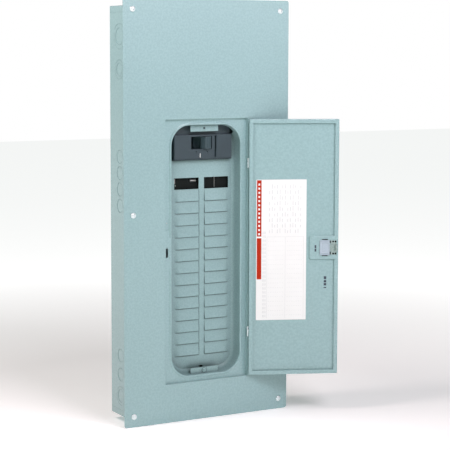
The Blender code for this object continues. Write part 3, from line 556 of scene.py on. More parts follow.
def cover_path():
    """(rectangle, growth, radius, depth) of every ring round the cover's cross-section."""
    outer = [(cover_rect, d, 5.0, y) for d, y in ((0, FRONT + 1.3), (0, FRONT + 0.35),
                                                  (-0.1, FRONT + 0.1), (-0.35, FRONT))]
    edge = [(RECESS, d, 2.5, y) for d, y in (
        (1.3, FRONT), (0.7, FRONT + 0.1), (0.25, FRONT + 0.45), (0.0, FRONT + 1.1),
        (0.0, FLOOR - 1.0), (-0.2, FLOOR - 0.45), (-0.55, FLOOR - 0.12), (-1.1, FLOOR))]
    bead = [(OPENING, d, OPENING_R, FLOOR - rise) for d, rise in (
        (6.0, 0.0), (5.3, 0.15), (4.7, 0.65), (4.0, 1.3), (3.1, 1.7), (2.2, 1.8), (1.3, 1.6),
        (0.6, 1.1), (0.15, 0.3), (0.0, -0.6))]
    rear = [(OPENING, d, OPENING_R, FLOOR + deep) for d, deep in (
        (0.1, 1.3), (1.1, 0.5), (1.7, 0.1), (2.4, 0.0), (3.2, 0.1), (3.9, 0.6), (4.6, 1.2),
        (5.4, 1.5), (6.2, 1.5))]
    wall = [(RECESS, d, 2.5, y) for d, y in ((0.3, FLOOR + SHEET), (0.9, FLOOR + 1.3),
                                             (1.35, FLOOR + 0.8), (1.5, FLOOR), (1.5, FRONT + 2.1),
                                             (1.8, FRONT + 1.65), (2.4, FRONT + SHEET))]
    rim = [(cover_rect, -0.2, 5.0, FRONT + SHEET)]
    return outer + edge + bead + rear + wall + rim


cover = loft("pressed_cover", [ring(rect, d, r, y, FLAT_STOPS)
                               for rect, d, r, y in cover_path()], loop=True)
flattened = 0
for vert in cover.data.vertices:
    x, y, z = vert.co / MM
    if OPENING[0] - 6.5 < x < OPENING[0] + 0.5 and FLAT_STOPS[2] - 1 < z < FLAT_STOPS[1] + 1:
        if FLOOR - 1.9 < y < FLOOR - 0.01:
            vert.co.y, flattened = FLOOR * MM, flattened + 1
        elif FLOOR - 0.01 <= y < FLOOR + SHEET and OPENING[0] - 5.5 < x < OPENING[0] - 0.05:
            vert.co.y = (FLOOR + SHEET) * MM
print("bead points pressed flat:", flattened)

# %% [markdown]
# The cover is pierced after pressing: six screw holes, a strike slot for the latch's hook and a
# notch at each hinge. Two shallow pads are pressed into the floor of the recess, one round the
# strike and one with a small hole above it. Their edges slope, so they are lofts and not blocks.

# %% Pierce the cover
def pocket(name, rect, depth, slope, y):
    """A shallow pressed pocket with sloping sides, as a cutter."""
    return loft(name, [ring(rect, slope, 1.0, y - 2), ring(rect, slope, 1.0, y),
                       ring(rect, 0, 1.0, y + depth)])


HINGE_X, HINGE_Y = (v / MM for v in joints["door_hinge"]["pos_m"][:2])
HINGES = {"upper": 98.6, "lower": -264.8}      # heights of the hinges
NOTCH_HALF = 11.4
strike = block("strike", (RECESS[0] + 5.1, RECESS[0] + 9.9), about(FLOOR, 3),
               about(LATCH_Z, 9.6), 0.4)
screw_holes = [rod("Y", x, z, 2.5, FRONT - 3, FRONT + 4, 28) for x, z in SCREWS]
notches = [block("notch", (HINGE_X - 3.0, HINGE_X + 2.8), (FRONT - 2, FRONT + 4.6),
                 about(z, NOTCH_HALF), 0.3) for z in HINGES.values()]
HOLED_PAD = (-97.6, -89.8, -35.5, -11.5)
STRIKE_PAD = (-97.2, -87.0, LATCH_Z - 12.2, LATCH_Z + 11.2)
PAD_DEPTH = 0.7
pads = [pocket("holed_pad", HOLED_PAD, PAD_DEPTH, 0.9, FLOOR),
        pocket("strike_pad", STRIKE_PAD, PAD_DEPTH, 0.8, FLOOR)]
pad_hole = rod("Y", -93.5, -21.3, 1.2, FLOOR - 2, FLOOR + 4, 16)
carve(cover, bundle(pads))
carve(cover, strike, bundle(screw_holes), bundle(notches), pad_hole)
place(cover, "enclosure", "paint", enamel, "cover_trim", angle=30)

# %% [markdown]
# ## Cover screws
# Six zinc-plated truss-head screws with a combination recess: a cross for a driver bit and a
# slot for a plain screwdriver. The head is turned on a lathe, so the Screw modifier spins its
# profile, and the recess is cut with three thin blocks: a shallow slot and a deeper cross.

# %% Turn the screws
def truss_screw(name, x, z, look, node, seat, r, rise, shank_r, reach):
    """A screw whose head sits at depth seat, rises towards the front and reaches back."""
    dome = [(-rise, 0.0), (-rise * 0.97, r * 0.30), (-rise * 0.86, r * 0.58),
            (-rise * 0.62, r * 0.82), (-rise * 0.34, r * 0.95), (-rise * 0.14, r),
            (0.0, r * 0.99), (0.0, shank_r), (reach - 1.2, shank_r), (reach, shank_r * 0.5),
            (reach, 0.0)]
    head = turned(name, (x, seat, z), "Y", dome)
    deep = seat - rise * 0.42
    arm, thick = r * 0.5, r * 0.11
    above = seat - rise - 1
    carve(head,
          block("slot", about(x, r * 0.86), (above, seat - rise * 0.62), about(z, thick)),
          block("cross_a", about(x, arm), (above, deep), about(z, thick * 1.2)),
          block("cross_b", about(x, thick * 1.2), (above, deep), about(z, arm)))
    return place(head, "enclosure", "paint" if look is enamel else "zinc", look, node, angle=28)


for x, z in SCREWS:
    side = "left" if x < 0 else "right"
    end = "middle" if z == 0 else "upper" if z > 0 else "lower"
    truss_screw(f"truss_screw_{side}_{end}", x, z, zinc, f"cover_screw_{side}_{end}",
                seat=FRONT - 0.3, r=6.0, rise=3.2, shank_r=2.1, reach=8.8)

# %% [markdown]
# ## The dead front
# A deep-drawn tray behind the opening. Its wall leaves the lip in a tight bend, leans in a few
# millimetres and runs out into the plate in a wide soft bend, which is what rounds the lower
# corners. We take the wall's path through a smooth curve, loft it and close the last ring.

# %% Draw the tray
def smooth_path(points, per_span=4):
    """Catmull-Rom curve through (grow, depth) points."""
    padded, out = [points[0]] + points + [points[-1]], []
    for a, b, c, d in zip(padded, padded[1:], padded[2:], padded[3:]):
        for k in range(per_span):
            t = k / per_span
            out.append(tuple(0.5 * (2 * b[i] + (c[i] - a[i]) * t
                                    + (2 * a[i] - 5 * b[i] + 4 * c[i] - d[i]) * t * t
                                    + (3 * b[i] - a[i] - 3 * c[i] + d[i]) * t ** 3)
                             for i in range(2)))
    return out + [points[-1]]


LIP = FLOOR + SHEET + 0.3
front_wall = smooth_path([(0.9, LIP), (0.1, LIP + 1.0), (-1.4, LIP + 7), (-3.4, LIP + 13.0),
                          (-5.9, PLATE - 2.8), (-9.8, PLATE)])
tray_rings = [ring(OPENING, d, OPENING_R, y) for d, y in [(5.5, LIP)] + front_wall]
tray = thicken(loft("drawn_tray", tray_rings, caps=False), len(tray_rings[0]), -1, SKIN)
first_blank = POLE_TOP - POLE
last_blank = POLE_TOP - POLE * POLES
BED_X = ((COLUMNS[0][0] + 2.0, COLUMNS[0][1]), (COLUMNS[1][0], COLUMNS[1][1] - 2.0))
column_beds = [block("column_bed", span, (PLATE - 5, PLATE + 0.85), (last_blank - 0.6, first_blank))
               for span in BED_X]
slots = [block("open_position", (span[0] - 0.4, span[1] - 1.0), (PLATE - 5, PLATE + 5),
               (first_blank + 1.2, POLE_TOP), 0.5) for span in COLUMNS]
window = block("main_window", (main_low.x - 2.2, main_high.x + 2.2), (FRONT + 16.3, PLATE + 4),
               (106.8, OPENING[3] + 6.0), 1.0)
notch = rod("Y", -1.5, OPENING[2] + 10.2, 4.6, FRONT + 17, PLATE + 5, 28)
carve(tray, bundle(column_beds), bundle(slots), window, notch)
print("tray drawn and cut:", len(tray.data.polygons), "faces")

# %% [markdown]
# Two ears, welded inside the tray's ends, take the screws that hold it to the cover. Only the
# lower one has its screw in. Both are small blocks with rounded edges, drilled and united with it.

# %% Weld on the ears
EAR = (-34.5, 31.5)
EAR_X = (EAR[0] + EAR[1]) / 2 - 0.5            # the screws stand a little left of the middle
EAR_Y = (FRONT + 14.0, FRONT + 15.5)
EAR_DRILL = (EAR_Y[0] - 3, EAR_Y[1] + 3)
UPPER_HOLE_Z, LOWER_HOLE_Z, EAR_HOLE_R = OPENING[3] - 7, OPENING[2] + 6.5, 2.4
upper_ear = block("upper_ear", EAR, EAR_Y, (OPENING[3] - 14, OPENING[3] + 0.6), 0.5)
lower_ear = block("lower_ear", EAR, EAR_Y, (OPENING[2] - 0.6, OPENING[2] + 13), 0.5)
carve(upper_ear, rod("Y", EAR_X, UPPER_HOLE_Z, EAR_HOLE_R, *EAR_DRILL),
      extrude("ear_notch", [(EAR_X - 3.4, OPENING[3] + 2), (EAR_X - 2.4, OPENING[3] - 1.2),
                            (EAR_X + 2.4, OPENING[3] - 1.2), (EAR_X + 3.4, OPENING[3] + 2)],
              "Y", *EAR_DRILL))
carve(lower_ear, rod("Y", EAR_X, LOWER_HOLE_Z, EAR_HOLE_R, *EAR_DRILL),
      block("ear_relief", about(EAR_X, 6.5), (EAR_Y[0] - 3, EAR_Y[0] + 0.6),
            (OPENING[2] + 2.0, OPENING[2] + 16), 0.3))
weld(tray, upper_ear, lower_ear)
place(tray, "enclosure", "paint", tray_enamel, "dead_front", angle=32)
truss_screw("tray_screw", EAR_X, LOWER_HOLE_Z, enamel, "dead_front_screw",
            seat=EAR_Y[0] - 0.3, r=4.4, rise=2.4, shank_r=2.0, reach=3.6)

# %% [markdown]
# ## Twist-out blanks
# Fourteen blanks in each column close the positions that hold no breaker. Each is sheared along
# its foot and inner end and leans out there like a louvre, so it catches light on its face and
# drops a thin shadow on the one below. One profile, lofted across the column and flattened
# towards the outer end, makes them all.

# %% Lean the blanks out
LOUVRE = ((12.6, 0.25), (11.4, 0.0), (8.0, -0.35), (2.0, -1.1), (-5.0, -1.95), (-9.6, -2.35),
          (-10.8, -2.35), (-11.4, -2.1), (-11.7, -1.5), (-11.75, 0.6), (-11.75, 0.75), (12.6, 0.75))
for name, outer, inner in (("left", COLUMNS[0][0], COLUMNS[0][1] - 2.0),
                           ("right", COLUMNS[1][1], COLUMNS[1][0] + 0.35)):
    inward = 1 if inner > outer else -1
    fade = [(outer + inward * into, lean) for into, lean in (
        (-0.3, 0.03), (1.5, 0.12), (3.5, 0.38), (5.5, 0.68), (8.0, 0.92), (10.5, 1.0))]
    column = []
    for row in range(1, POLES):
        middle = POLE_TOP - POLE * (row + 0.5)
        column.append(loft("blank", [[(x, PLATE + (y * lean if y < 0.7 else y), middle + z)
                                      for z, y in LOUVRE] for x, lean in fade + [(inner, 1.0)]]))
    blanks = bundle(column)
    ease(blanks, 0.35, steps=2, angle=50)
    place(blanks, "enclosure", "paint", tray_enamel, angle=40)
    blanks.name = f"twist_out_blanks_{name}"

# %% [markdown]
# ## The main breaker
# A slate-grey moulding that stands in the top of the tray. Its face carries a wide slot for the
# throw handle, a parting groove on the right and a white position mark. The handle turns left and
# right about an upright pin deep in the case; at rest it is thrown to the right, so the left half
# of the slot shows the dark drum. Blocks with rounded edges are united, then carved.

# %% Mould the case
FACE = FRONT + 20.0
FACE_Z = (108.0, 161.0)
pin_low, pin_high = extent("main_handle_pin")
PIVOT_X, PIVOT_Y = (pin_low.x + pin_high.x) / 2, (pin_low.y + pin_high.y) / 2
SLOT_HALF, SLOT_Z = 24.6, (130.5, 157.0)
PIN_BORE = 2.05
case = block("main_breaker_body", (main_low.x, main_high.x), (PLATE + 3, main_high.y),
             (main_low.z, main_high.z), 0.8)
weld(case,
     block("face", (main_low.x, main_high.x), (FACE, PLATE + 6), FACE_Z, 1.3, 4),
     block("shoulder", (main_low.x + 0.6, main_high.x - 0.6), (FACE + 6, PLATE + 6),
           (FACE_Z[1] - 4, OPENING[3] + 3.0), 1.0),
     block("handle_frame", (PIVOT_X - 1.8, PIVOT_X + 39.0), (FACE - 0.9, FACE + 4),
           (SLOT_Z[0] - 3.0, SLOT_Z[1] + 1.4), 0.5))
holes = [block("terminal_pocket", about(x, 13), (PLATE - 2, main_high.y - 2), (182, 214), 0.5)
         for x in (-36, 36)]
dots = [rod("Y", PIVOT_X + dx, 125.0, 1.7, FACE - 2, FACE + 2.2, 20) for dx in (-12.7, 13.3)]
carve(case,
      block("handle_slot", about(PIVOT_X, SLOT_HALF), (FACE - 4, PIVOT_Y + 9), SLOT_Z, 0.8),
      rod("Z", PIVOT_X, PIVOT_Y, PIN_BORE, SLOT_Z[0] - 4.3, SLOT_Z[1] + 4.3),
      block("groove", (25.6, 30.2), (FACE - 2, FACE + 4.5), (FACE_Z[0] + 5, FACE_Z[1] - 3), 0.4),
      bundle(holes), bundle(dots))
carve(case, block("foot_line", (main_low.x - 2, main_high.x + 2), (FACE - 2, FACE + 0.7),
                  (FACE_Z[0] + 1.6, FACE_Z[0] + 2.5)))
place(case, "enclosure", "slate", slate, "main_breaker_case", angle=32)
mark = block("position_mark", (PIVOT_X - 4.1, PIVOT_X - 2.7), (FACE - 0.22, FACE + 0.2),
             (112.7, 121.4), 0.1, 1)
place(mark, "enclosure", "card", paper)

# %% [markdown]
# The handle is one moulding: a drum round the pin, and a grip that flares towards the finger,
# with fine flutes on its face. It is drawn pointing straight out and then turned to where the
# frame holds it at rest.

# %% Mould the handle
THROW = 22.0                                   # degrees from straight out to thrown right
drum = [(7.0 * math.cos(math.radians(a)), 7.0 * math.sin(math.radians(a)))
        for a in range(-35, 216, 10)]
grip = [(-5.0, -8), (-5.3, -19), (-8.6, -22.2), (-10.2, -24.0), (-9.9, -31.0), (-9.3, -36.6),
        (-8.6, -37.6), (-7.4, -38.0), (7.4, -38.0), (8.6, -37.6), (9.3, -36.6), (9.9, -31.0),
        (10.2, -24.0), (8.6, -22.2), (5.3, -19), (5.0, -8)]
handle = extrude("throw_handle", [(PIVOT_X + x, PIVOT_Y + y) for x, y in grip + drum], "Z",
                 SLOT_Z[0] + 0.6, SLOT_Z[1] - 0.6)
carve(handle, rod("Z", PIVOT_X, PIVOT_Y, PIN_BORE, SLOT_Z[0] - 4, SLOT_Z[1] + 4))
flutes = [block("flute", about(PIVOT_X + dx, 0.45), (PIVOT_Y - 39, PIVOT_Y - 37.5),
                (SLOT_Z[0] + 3.5, SLOT_Z[1] - 3.5)) for dx in (-5.4, -3.2, 3.2, 5.4)]
carve(handle, bundle(flutes))
ease(handle, 0.4, steps=2, angle=50)
turn = Matrix.Rotation(math.radians(THROW), 4, "Z")
pivot = Matrix.Translation((PIVOT_X * MM, PIVOT_Y * MM, 0))
handle.data.transform(pivot @ turn @ pivot.inverted())
place(handle, "main_handle", "black", handle_look, "main_breaker_handle", angle=40)

# %% [markdown]
# ## Behind the open positions
# The top position on each side stands open. Only darkness shows there, with a few bright edges of metal in it:
# stab tips, a rail and a clip. A black moulding close behind the dead front, with a slot for each of them, keeps
# the light out. It is partly a real bus insulator and partly painted shade: its black is darker than the other
# mouldings, so the open positions read as deep shadow.

# %% Mould the stab shroud
SHROUD_Y = (PLATE + 7.0, PLATE + 9.0)
SHROUD_DRILL = (SHROUD_Y[0] - 2, SHROUD_Y[1] + 2)
shroud = block("stab_shroud", about(0.0, 69.0), SHROUD_Y, (41.0, 78.0), 0.4)
carve(shroud, block("stab_slot", (-25.0, -9.5), SHROUD_DRILL, (60.0, 66.5), 0.3),
      block("rail_slot", (32.6, 35.0), SHROUD_DRILL, (47.0, 73.0), 0.2),
      block("clip_slot", (-62.0, -57.5), SHROUD_DRILL, (50.0, 69.0), 0.4))
place(shroud, "enclosure", "black", black_shade_look)
tips = bundle([block("tip", xs, (SHROUD_Y[0] - proud, SHROUD_Y[0] + deep), zs, edge)
               for xs, proud, deep, zs, edge in (
                   ((-24.0, -10.5), 0.5, 6, (62.2, 64.0), 0.3),       # stab
                   ((33.5, 34.1), 0.4, 5, (47.6, 72.4), 0.2),         # rail edge
                   ((-61.2, -60.0), 0.5, 4, (57.0, 67.5), 0.3),       # clip
                   ((-59.4, -58.4), 0.5, 4, (51.5, 55.0), 0.3))])     # foot of the clip
tips.name = "stab_tips"
place(tips, "enclosure", "tinned", tin)

# %% [markdown]
# ## The door
# A pan with its edges folded in and hemmed, which is what makes it stiff and safe to the hand.
# From inside we see the hem as a flat rim, a shadow where it stops, the inner sheet and the
# raised back of the finger pocket. It is drawn shut and then swung open about the hinge to the
# angle at which the frame holds it at rest.

# %% Fold and hem the door
OPEN_ANGLE = -joints["door_hinge"]["range_deg"][0]
hinge_at = Matrix.Translation((HINGE_X * MM, HINGE_Y * MM, 0))
swing = hinge_at @ Matrix.Rotation(math.radians(OPEN_ANGLE), 4, "Z") @ hinge_at.inverted()


def hang(piece):
    """Swing a piece drawn on the shut door to the open place."""
    piece.matrix_world = swing
    return piece


hem = [(-2.0, 0.0)] + [(d - 2.0, y + 2.0) for d, y in bend(0, 0, 2.0, -90, 0, 5)][1:]
hem += [(d - 1.6, y + 3.4) for d, y in bend(0, 0, 1.6, 0, 90, 5)]
hem += [(-8.2, 5.0), (-8.75, 4.85), (-9.0, 4.4), (-8.8, 3.95), (-8.2, 3.8), (-2.4, 3.8),
        (-1.6, 3.4), (-1.25, 2.6), (-1.5, 1.7), (-2.4, SKIN)]
door = loft("hemmed_door", [ring(DOOR, d, 2.6, FRONT + y) for d, y in hem])
POCKET = (DOOR[0] + 21.0, DOOR[0] + 61.5, *about(LATCH_Z, 23.8))
boss_rect = (DOOR[0] + 4.0, POCKET[1] + 1.6, *about(LATCH_Z, 25.5))
DAMPER_Z, STOP_Z = (-12.2, 12.2), (-17.7, 17.7)       # from the latch's middle


def rivets(r, y0, y1):
    """Four rods where the keeper is riveted: the rivets, or the drills for their holes."""
    return [rod("Y", DOOR[0] + x, LATCH_Z + z, r, y0, y1)
            for x in (6.3, 11.4) for z in (-13.0, 13.0)]


boss = loft("pocket_boss", [ring(boss_rect, d, 4.0, FRONT + y) for d, y in (
    (1.6, 0.8), (1.4, 1.25), (0.9, 1.7), (0.0, 3.2), (-0.5, 4.3), (-1.0, 4.75), (-1.9, 4.97))])
weld(door, boss)
finger = loft("finger_pocket", [ring(POCKET, d, 5.0, FRONT + y) for d, y in (
    (1.0, -2.0), (1.0, -0.3), (0.4, 0.0), (0.0, 0.5), (-1.2, 3.2), (-2.0, 3.8))])
carve(door, finger)
carve(door,
      block("latch_window", (POCKET[0] + 0.5, POCKET[0] + 17), (FRONT + 2, FRONT + 9),
            about(LATCH_Z, 8.4)),
      block("bolt_channel", (DOOR[0] + 1.6, POCKET[0] + 3), (FRONT + 3.3, FRONT + 9),
            about(LATCH_Z, 7.3)),
      bundle(rivets(2.15, FRONT + 1.6, FRONT + 9) + [
          block("damper_pocket", (DOOR[0] + 15.2, DOOR[0] + 18.9), (FRONT + 1.6, FRONT + 9),
                about(LATCH_Z + z, 3.0), 0.4) for z in DAMPER_Z]),
      bundle([block("hinge_notch", (HINGE_X - 3.2, HINGE_X + 2), (FRONT - 2, FRONT + 3.3),
                    about(z, NOTCH_HALF)) for z in HINGES.values()]),
      bundle([block("stop_pocket", (DOOR[0] + 23.0, DOOR[0] + 36.0), (FRONT + 2.6, FRONT + 9),
                    about(LATCH_Z + z, 1.0), 0.3) for z in STOP_Z]))
place(hang(door), "door", "paint", enamel, "door_panel", angle=32)

# %% [markdown]
# Each hinge is three rolled knuckles on a pin. The door's knuckle grows from a short leaf welded
# under the hem, so only the bright barrel shows. A block would do for the leaf, but the barrel
# is turned, with its ends eased so that it catches the light.

# %% Roll the door's knuckles
for end, z in HINGES.items():
    leaf = block("leaf", (DOOR[1] - 8.0, HINGE_X - 0.7), (FRONT + 1.6, FRONT + 2.7),
                 about(z, 3.9), 0.2, 2)
    barrel = turned("barrel", (HINGE_X, HINGE_Y, z), "Z", [
        (-3.95, 0.0), (-3.95, 1.9), (-3.65, 2.2), (3.65, 2.2), (3.95, 1.9), (3.95, 0.0)], 32)
    weld(leaf, barrel, block("arm", (HINGE_X - 2.1, HINGE_X - 0.7), (HINGE_Y, FRONT + 2.2),
                             about(z, 3.7), 0.1, 1))
    carve(leaf, rod("Z", HINGE_X, HINGE_Y, 1.21, *about(z, 9)))
    leaf.name = f"door_knuckle_{end}"
    place(hang(leaf), "door", "steel", zinc, f"hinge_leaf_door_{end}")

# %% [markdown]
# ## The latch
# A pale moulded slide that a finger moves from inside the pocket, a flat hooked bolt that catches
# behind the cover, and a plated keeper. The bolt stays as the frame has it. The slide has a dished
# thumb pad, which is a small loft taken out of a block, and grip flutes above and below it.

# %% Mould the slide
slide_x = (DOOR[0] + 19.2, DOOR[0] + 41.0)
latch_y = FRONT + DOOR_T
slide = block("finger_slide", slide_x, (latch_y + 0.3, latch_y + 2.4), about(LATCH_Z, 16.3), 0.7)
weld(slide, block("finger_tab", (DOOR[0] + 27.4, DOOR[0] + 35.0), (FRONT + 0.8, latch_y + 1.2),
                  about(LATCH_Z, 7.6), 0.6))
dish = (slide_x[0] + 3.2, slide_x[1] - 3.2, *about(LATCH_Z, 10))
carve(slide,
      loft("dish", [ring(dish, d, 2.5, latch_y + y)
                    for d, y in ((0.9, 3.5), (0.7, 2.4), (0.0, 1.8), (-1.2, 1.55))]),
      bundle([block("flute", (slide_x[0] + 2.6, slide_x[1] - 2.6), (latch_y + 1.7, latch_y + 4),
                    about(LATCH_Z + dz, 0.55), 0.2) for dz in (-14.2, -12.2, 12.2, 14.2)]))
place(hang(slide), "latch", "pale_plastic", lilac, "latch_slider", angle=36)

# %% [markdown]
# The keeper is a thin plate with four rivet holes and, round its small spring, a slot in two arcs. Black rivets
# sit in its holes, two black dampers stand beside it and two black stops end the slide's way; they are partly real
# parts and partly painted shade, black put where the keeper's holes and gaps fall in shadow.

# %% Press the keeper
through = (latch_y - 2, latch_y + 3)
keeper = block("latch_keeper_plate", (DOOR[0] + 4.2, DOOR[0] + 16.4),
               (latch_y + 0.1, latch_y + 0.7), about(LATCH_Z, 15.7), 0.2, 2)
carve(keeper, bundle(rivets(2.15, *through)),
      bundle([extrude("spring_slot", arc, "Y", *through)
              for arc in broken_circle(DOOR[0] + 12.2, LATCH_Z, 3.2, 1.3, 60.0, tie=70.0)]),
      block("hook_window", (DOOR[0] + 2, DOOR[0] + 8.0), through, about(LATCH_Z, 7.6)))
place(hang(keeper), "door", "zinc", keeper_look, "latch_keeper", angle=30)
# Painted shade: black rivets, dampers and stops fill the keeper's holes and gaps where shadow falls.
keeper_shade_fill = rivets(2.0, FRONT + 1.5, latch_y + 0.25)
keeper_shade_fill += [block("damper", (DOOR[0] + 16.6, DOOR[0] + 18.8), (FRONT + 1.5, latch_y + 0.15),
                 about(LATCH_Z + z, 2.9), 0.2) for z in DAMPER_Z]
keeper_shade_fill += [block("slide_stop", (DOOR[0] + 23.2, DOOR[0] + 35.8), (FRONT + 2.5, latch_y - 0.2),
                 about(LATCH_Z + z, 0.9), 0.2) for z in STOP_Z]
place(hang(bundle(keeper_shade_fill)), "door", "black", black_shade_look).name = "keeper_rivets_and_painted_shade"

# %% [markdown]
# ## The directory
# A printed card glued inside the door, where the owner writes what each breaker feeds. It has a
# red band down its hinge side, a block of fine print at the top and a ruled table below. Nothing
# on ours can be read: the print is rows of plain dashes, raised a hair from the card as ink is.

# %% Print the directory
CARD = (HINGE_X - 125.4, HINGE_X - 16.9, -240.3, 63.3)
card_y = FRONT + SKIN + 0.3
card = loft("directory_label", [ring(CARD, d, 1.2, card_y + y) for d, y in (
    (0, 0.0), (0, 0.33), (-0.12, 0.4))])
place(hang(card), "door", "card", paper, "directory_card", angle=30)
INK_Y = (card_y + 0.39, card_y + 0.43)
BAND_X = (CARD[1] - 11.3, CARD[1] - 1.5)
dashes = [block("dash", (BAND_X[0] + 3.1, BAND_X[1] - 3.1), (INK_Y[0] - 0.1, INK_Y[1] + 0.1),
                (z, z + 4.2)) for z in [-56.0 + 8.9 * k for k in range(13)]]
band = block("directory_band", BAND_X, INK_Y, (-59.0, CARD[3] - 1.2))
carve(band, bundle(dashes))
weld(band, block("solid_band", BAND_X, INK_Y, (-151.5, -62.5)))
place(hang(band), "door", "card", red_ink)

# %% [markdown]
# The table has a rule down the middle and one at each side, a rule across its head and seventeen
# rows of short dashes. The fine print above it runs up the card, so its lines stand upright, and
# a small remainder sum breaks them into words of uneven length without any random number.

# %% Rule the table and set the fine print
rules = []


def rule(x0, x1, z0, z1):
    """One printed mark."""
    rules.append(block("rule", (x0, x1), INK_Y, (z0, z1)))


TABLE_X, TABLE_TOP = (CARD[0] + 6.0, BAND_X[0] - 12.0), -60
MIDDLE = (CARD[0] + BAND_X[0]) / 2 - 3.0
for x in (MIDDLE, *TABLE_X):
    rule(*about(x, 0.2), CARD[2] + 4, TABLE_TOP)
rule(*TABLE_X, *about(TABLE_TOP, 0.2))
for row in range(17):
    z = -70.0 - row * 10.0
    for x in (CARD[0] + 10.0, MIDDLE + 5.0):
        for k in range(7):
            rule(x + k * 5.0, x + k * 5.0 + 1.6, z, z + 0.5)
for line in range(13):
    x = CARD[0] + 12.0 + line * 5.6
    for k in range(9):
        if (line * 5 + k * 3) % 7 > 1:
            start = -52.0 + k * 12.0
            rule(x, x + 0.9, start, start + 6.0 + (line * 3 + k * 5) % 5)
for line in range(3):
    x = BAND_X[0] - 9.0 + line * 2.6
    for k in range(22):
        z = CARD[2] + 6 + k * 8.6
        rule(x, x + 0.7, z, z + 5.4)
print("printed marks:", len(rules))
place(hang(bundle(rules)), "door", "card", grey_ink).name = "directory_print"

# %% [markdown]
# Below the latch an inspector's ink stamp shows on the bare door, and two marks on the pocket's
# raised back. They too are plain bars, a hair proud of the paint.

# %% Ink the stamp
DOOR_INK = (FRONT + SKIN - 0.02, FRONT + SKIN + 0.03)
stamp = bundle([block("ink_bar", (HINGE_X - 169.8, HINGE_X - 164.2), DOOR_INK, (z, z + tall))
                for z, tall in ((-153.0, 6.2), (-160.2, 5.0), (-166.8, 5.2), (-172.6, 2.4))]
               + [block("boss_mark", (DOOR[0] + 48.2, DOOR[0] + 51.8), (FRONT + 4.9, FRONT + 5.01),
                        (z, z + 6.4)) for z in (-92.4, -84.8)])
place(hang(stamp), "door", "card", dark_ink).name = "ink_stamp"

# %% [markdown]
# ## The frame's own parts
# The pan, bus bars, insulators, neutral bars, lugs, rails, hinge pins and the bolt already have
# the right shape in the frame. They keep it. A Weld and a small Bevel take the knife edges off,
# and each gets the finish of its metal or moulding.

# %% Dress what is left of the frame
NODE_LOOKS = {node: zinc for node in frame["nodes"] if node.startswith("hinge")}
NODE_LOOKS["latch_bolt"] = keeper_look
SLOT_LOOKS = {"zinc": zinc, "steel": rolled, "tinned": tin, "black": black, "slate": slate,
              "green": green_dye, "paint": enamel, "pale_plastic": lilac, "card": paper}
slot_of = {part["node"]: part["material_slot"] for part in frame["record"]["subparts"]}


def dress(node, look, edge):
    """Ease a CAD node's edges with modifiers and give it a finish."""
    piece = frame["nodes"][node]
    join = piece.modifiers.new("join", "WELD")
    join.merge_threshold = 2e-6
    rim = piece.modifiers.new("ease", "BEVEL")
    rim.width, rim.segments, rim.limit_method = edge * MM, 2, "ANGLE"
    rim.angle_limit = math.radians(40)
    piece.data.materials.clear()
    piece.data.materials.append(look)
    for face in piece.data.polygons:
        face.material_index = 0


shown = sorted(name for name, piece in frame["nodes"].items() if not piece.hide_render)
for node in shown:
    dress(node, NODE_LOOKS.get(node, SLOT_LOOKS[slot_of[node]]),
          0.12 if "hinge" in node or "screw" in node else 0.25)
print("dressed:", len(shown), shown)

# %% [markdown]
# ## The floor
# A plain pale floor runs back without a visible edge. It glows a little itself, weakly under the
# panel, so that no light from below flattens it, and more the farther it goes, so that its far
# part is as white as the surround. The glow follows the distance from the floor's own middle.

# %% Lay the floor
GLOW_NEAR, GLOW_FAR = 0.26, 0.80               # strength of the glow at the two distances
GLOW_FROM, GLOW_TO = 0.6, 1.9                  # metres from the middle
floor_bm = bmesh.new()
bmesh.ops.create_grid(floor_bm, x_segments=2, y_segments=2, size=9000.0)
floor = new_piece("studio_floor", floor_bm)
floor.location.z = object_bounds()[0][2] - 0.0005
floor_look = surface("floor_paint", ((0.95, 0.95, 0.95), (0.97, 0.97, 0.97)), (0.75, 0.85),
                     drift=0.6, grain=60.0, relief=0.0002)
floor_tree = floor_look.node_tree
floor_shader = floor_tree.nodes["Principled BSDF"]
dial(floor_shader, {"Emission Color": (1, 1, 1, 1)})
spot = floor_tree.nodes.new("ShaderNodeTexCoord")
apart = floor_tree.nodes.new("ShaderNodeVectorMath")
apart.operation = "LENGTH"
floor_tree.links.new(spot.outputs["Object"], apart.inputs[0])
glow = remap(floor_tree, apart.outputs["Value"], GLOW_NEAR, GLOW_FAR, GLOW_FROM, GLOW_TO)
floor_tree.links.new(glow, floor_shader.inputs["Emission Strength"])
floor.data.materials.append(floor_look)
print("floor at", round(floor.location.z, 4))

# %% [markdown]
# ## The lights
# Five soft square lamps: a weak one high in front; one high on the left, a little behind the
# cover's face, for the box's side; a sheen from the right that the satin enamel mirrors; a glow
# from above and in front on the panel's top; and a faint green one low on the left.

# %% Hang the lamps
LAMPS = {   # where, aimed at, side of the square in metres, watts of red, green and blue
    "high_front": ((-0.3, -2.4, 2.0), (0, -0.1, 0.0), 1.3, (3.0, 3.0, 3.2)),
    "left_side": ((-1.0, 0.02, 1.02), (-0.2, -0.05, 0.34), 0.6, (15.8, 13.6, 13.4)),
    "sheen": ((1.75, -2.95, 1.25), (0.05, -0.1, 0.3), 1.3, (16.0, 13.2, 14.2)),
    "top_glow": ((0.1, -1.35, 1.1), (0, -0.1, 0.38), 0.7, (17.6, 16.0, 17.2)),
    "low_left": ((-0.8, -1.3, -0.35), (-0.1, -0.1, -0.3), 0.6, (0.5, 1.3, 0.8))}
for name, (location, target, size, watts) in LAMPS.items():
    lamp = bpy.data.lights.new(name, "AREA")
    lamp.shape, lamp.size, lamp.energy, lamp.color = "SQUARE", size, 1.0, watts
    holder = bpy.data.objects.new(name, lamp)
    bpy.context.scene.collection.objects.link(holder)
    holder.location = location
    aim = Vector(target) - Vector(location)
    holder.rotation_euler = aim.to_track_quat("-Z", "Y").to_euler()
    print(name, "at", location, "size", size)

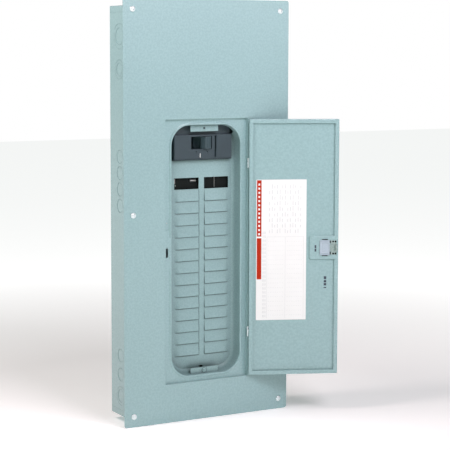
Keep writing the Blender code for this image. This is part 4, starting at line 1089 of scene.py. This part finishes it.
# %% [markdown]
# The surround lights every surface dimly and a little green, as a painted room does. To the
# camera itself it is plain white, so the background stays clean without washing the panel out.

# %% Light the surround
AMBIENT = (0.105, 0.122, 0.112)
world = bpy.data.worlds.new("surround")
world.use_nodes = True
sky = world.node_tree
ambient = dial(sky.nodes["Background"], {"Color": (*AMBIENT, 1.0), "Strength": 1.0})
paper_white = dial(sky.nodes.new("ShaderNodeBackground"), {"Color": (1.0, 1.0, 1.0, 1.0)})
seen_by = sky.nodes.new("ShaderNodeLightPath")
either = sky.nodes.new("ShaderNodeMixShader")
sky.links.new(seen_by.outputs["Is Camera Ray"], either.inputs["Fac"])
sky.links.new(ambient.outputs["Background"], either.inputs[1])
sky.links.new(paper_white.outputs["Background"], either.inputs[2])
sky.links.new(either.outputs["Shader"], sky.nodes["World Output"].inputs["Surface"])
bpy.context.scene.world = world
bpy.context.scene.view_settings.view_transform = "Standard"
print("surround:", AMBIENT, "| white to the camera")

# %% [markdown]
# ## The camera
# It stands to the left and a little above the middle, with a long lens, so that the panel's
# upright edges stay almost parallel. Yaw is measured from straight ahead, tilt is downwards.

# %% Camera
YAW, TILT, ROLL = 0.5036, 0.0984, 0.0022
camera_data = bpy.data.cameras.new("camera")
camera_data.lens, camera_data.sensor_width = 118.2, 36.0
camera_data.shift_y = -0.067
camera_data.clip_end = 60.0
camera = bpy.data.objects.new("camera", camera_data)
bpy.context.scene.collection.objects.link(camera)
camera.location = (-1.4622, -2.8243, 0.3405)
looking = Vector((math.sin(YAW) * math.cos(TILT), math.cos(YAW) * math.cos(TILT),
                  -math.sin(TILT)))
upright = looking.to_track_quat("-Z", "Y").to_matrix().to_4x4()
camera.rotation_euler = (upright @ Matrix.Rotation(ROLL, 4, "Z")).to_euler()
bpy.context.scene.camera = camera
print("camera at", [round(v, 3) for v in camera.location])

# %% [markdown]
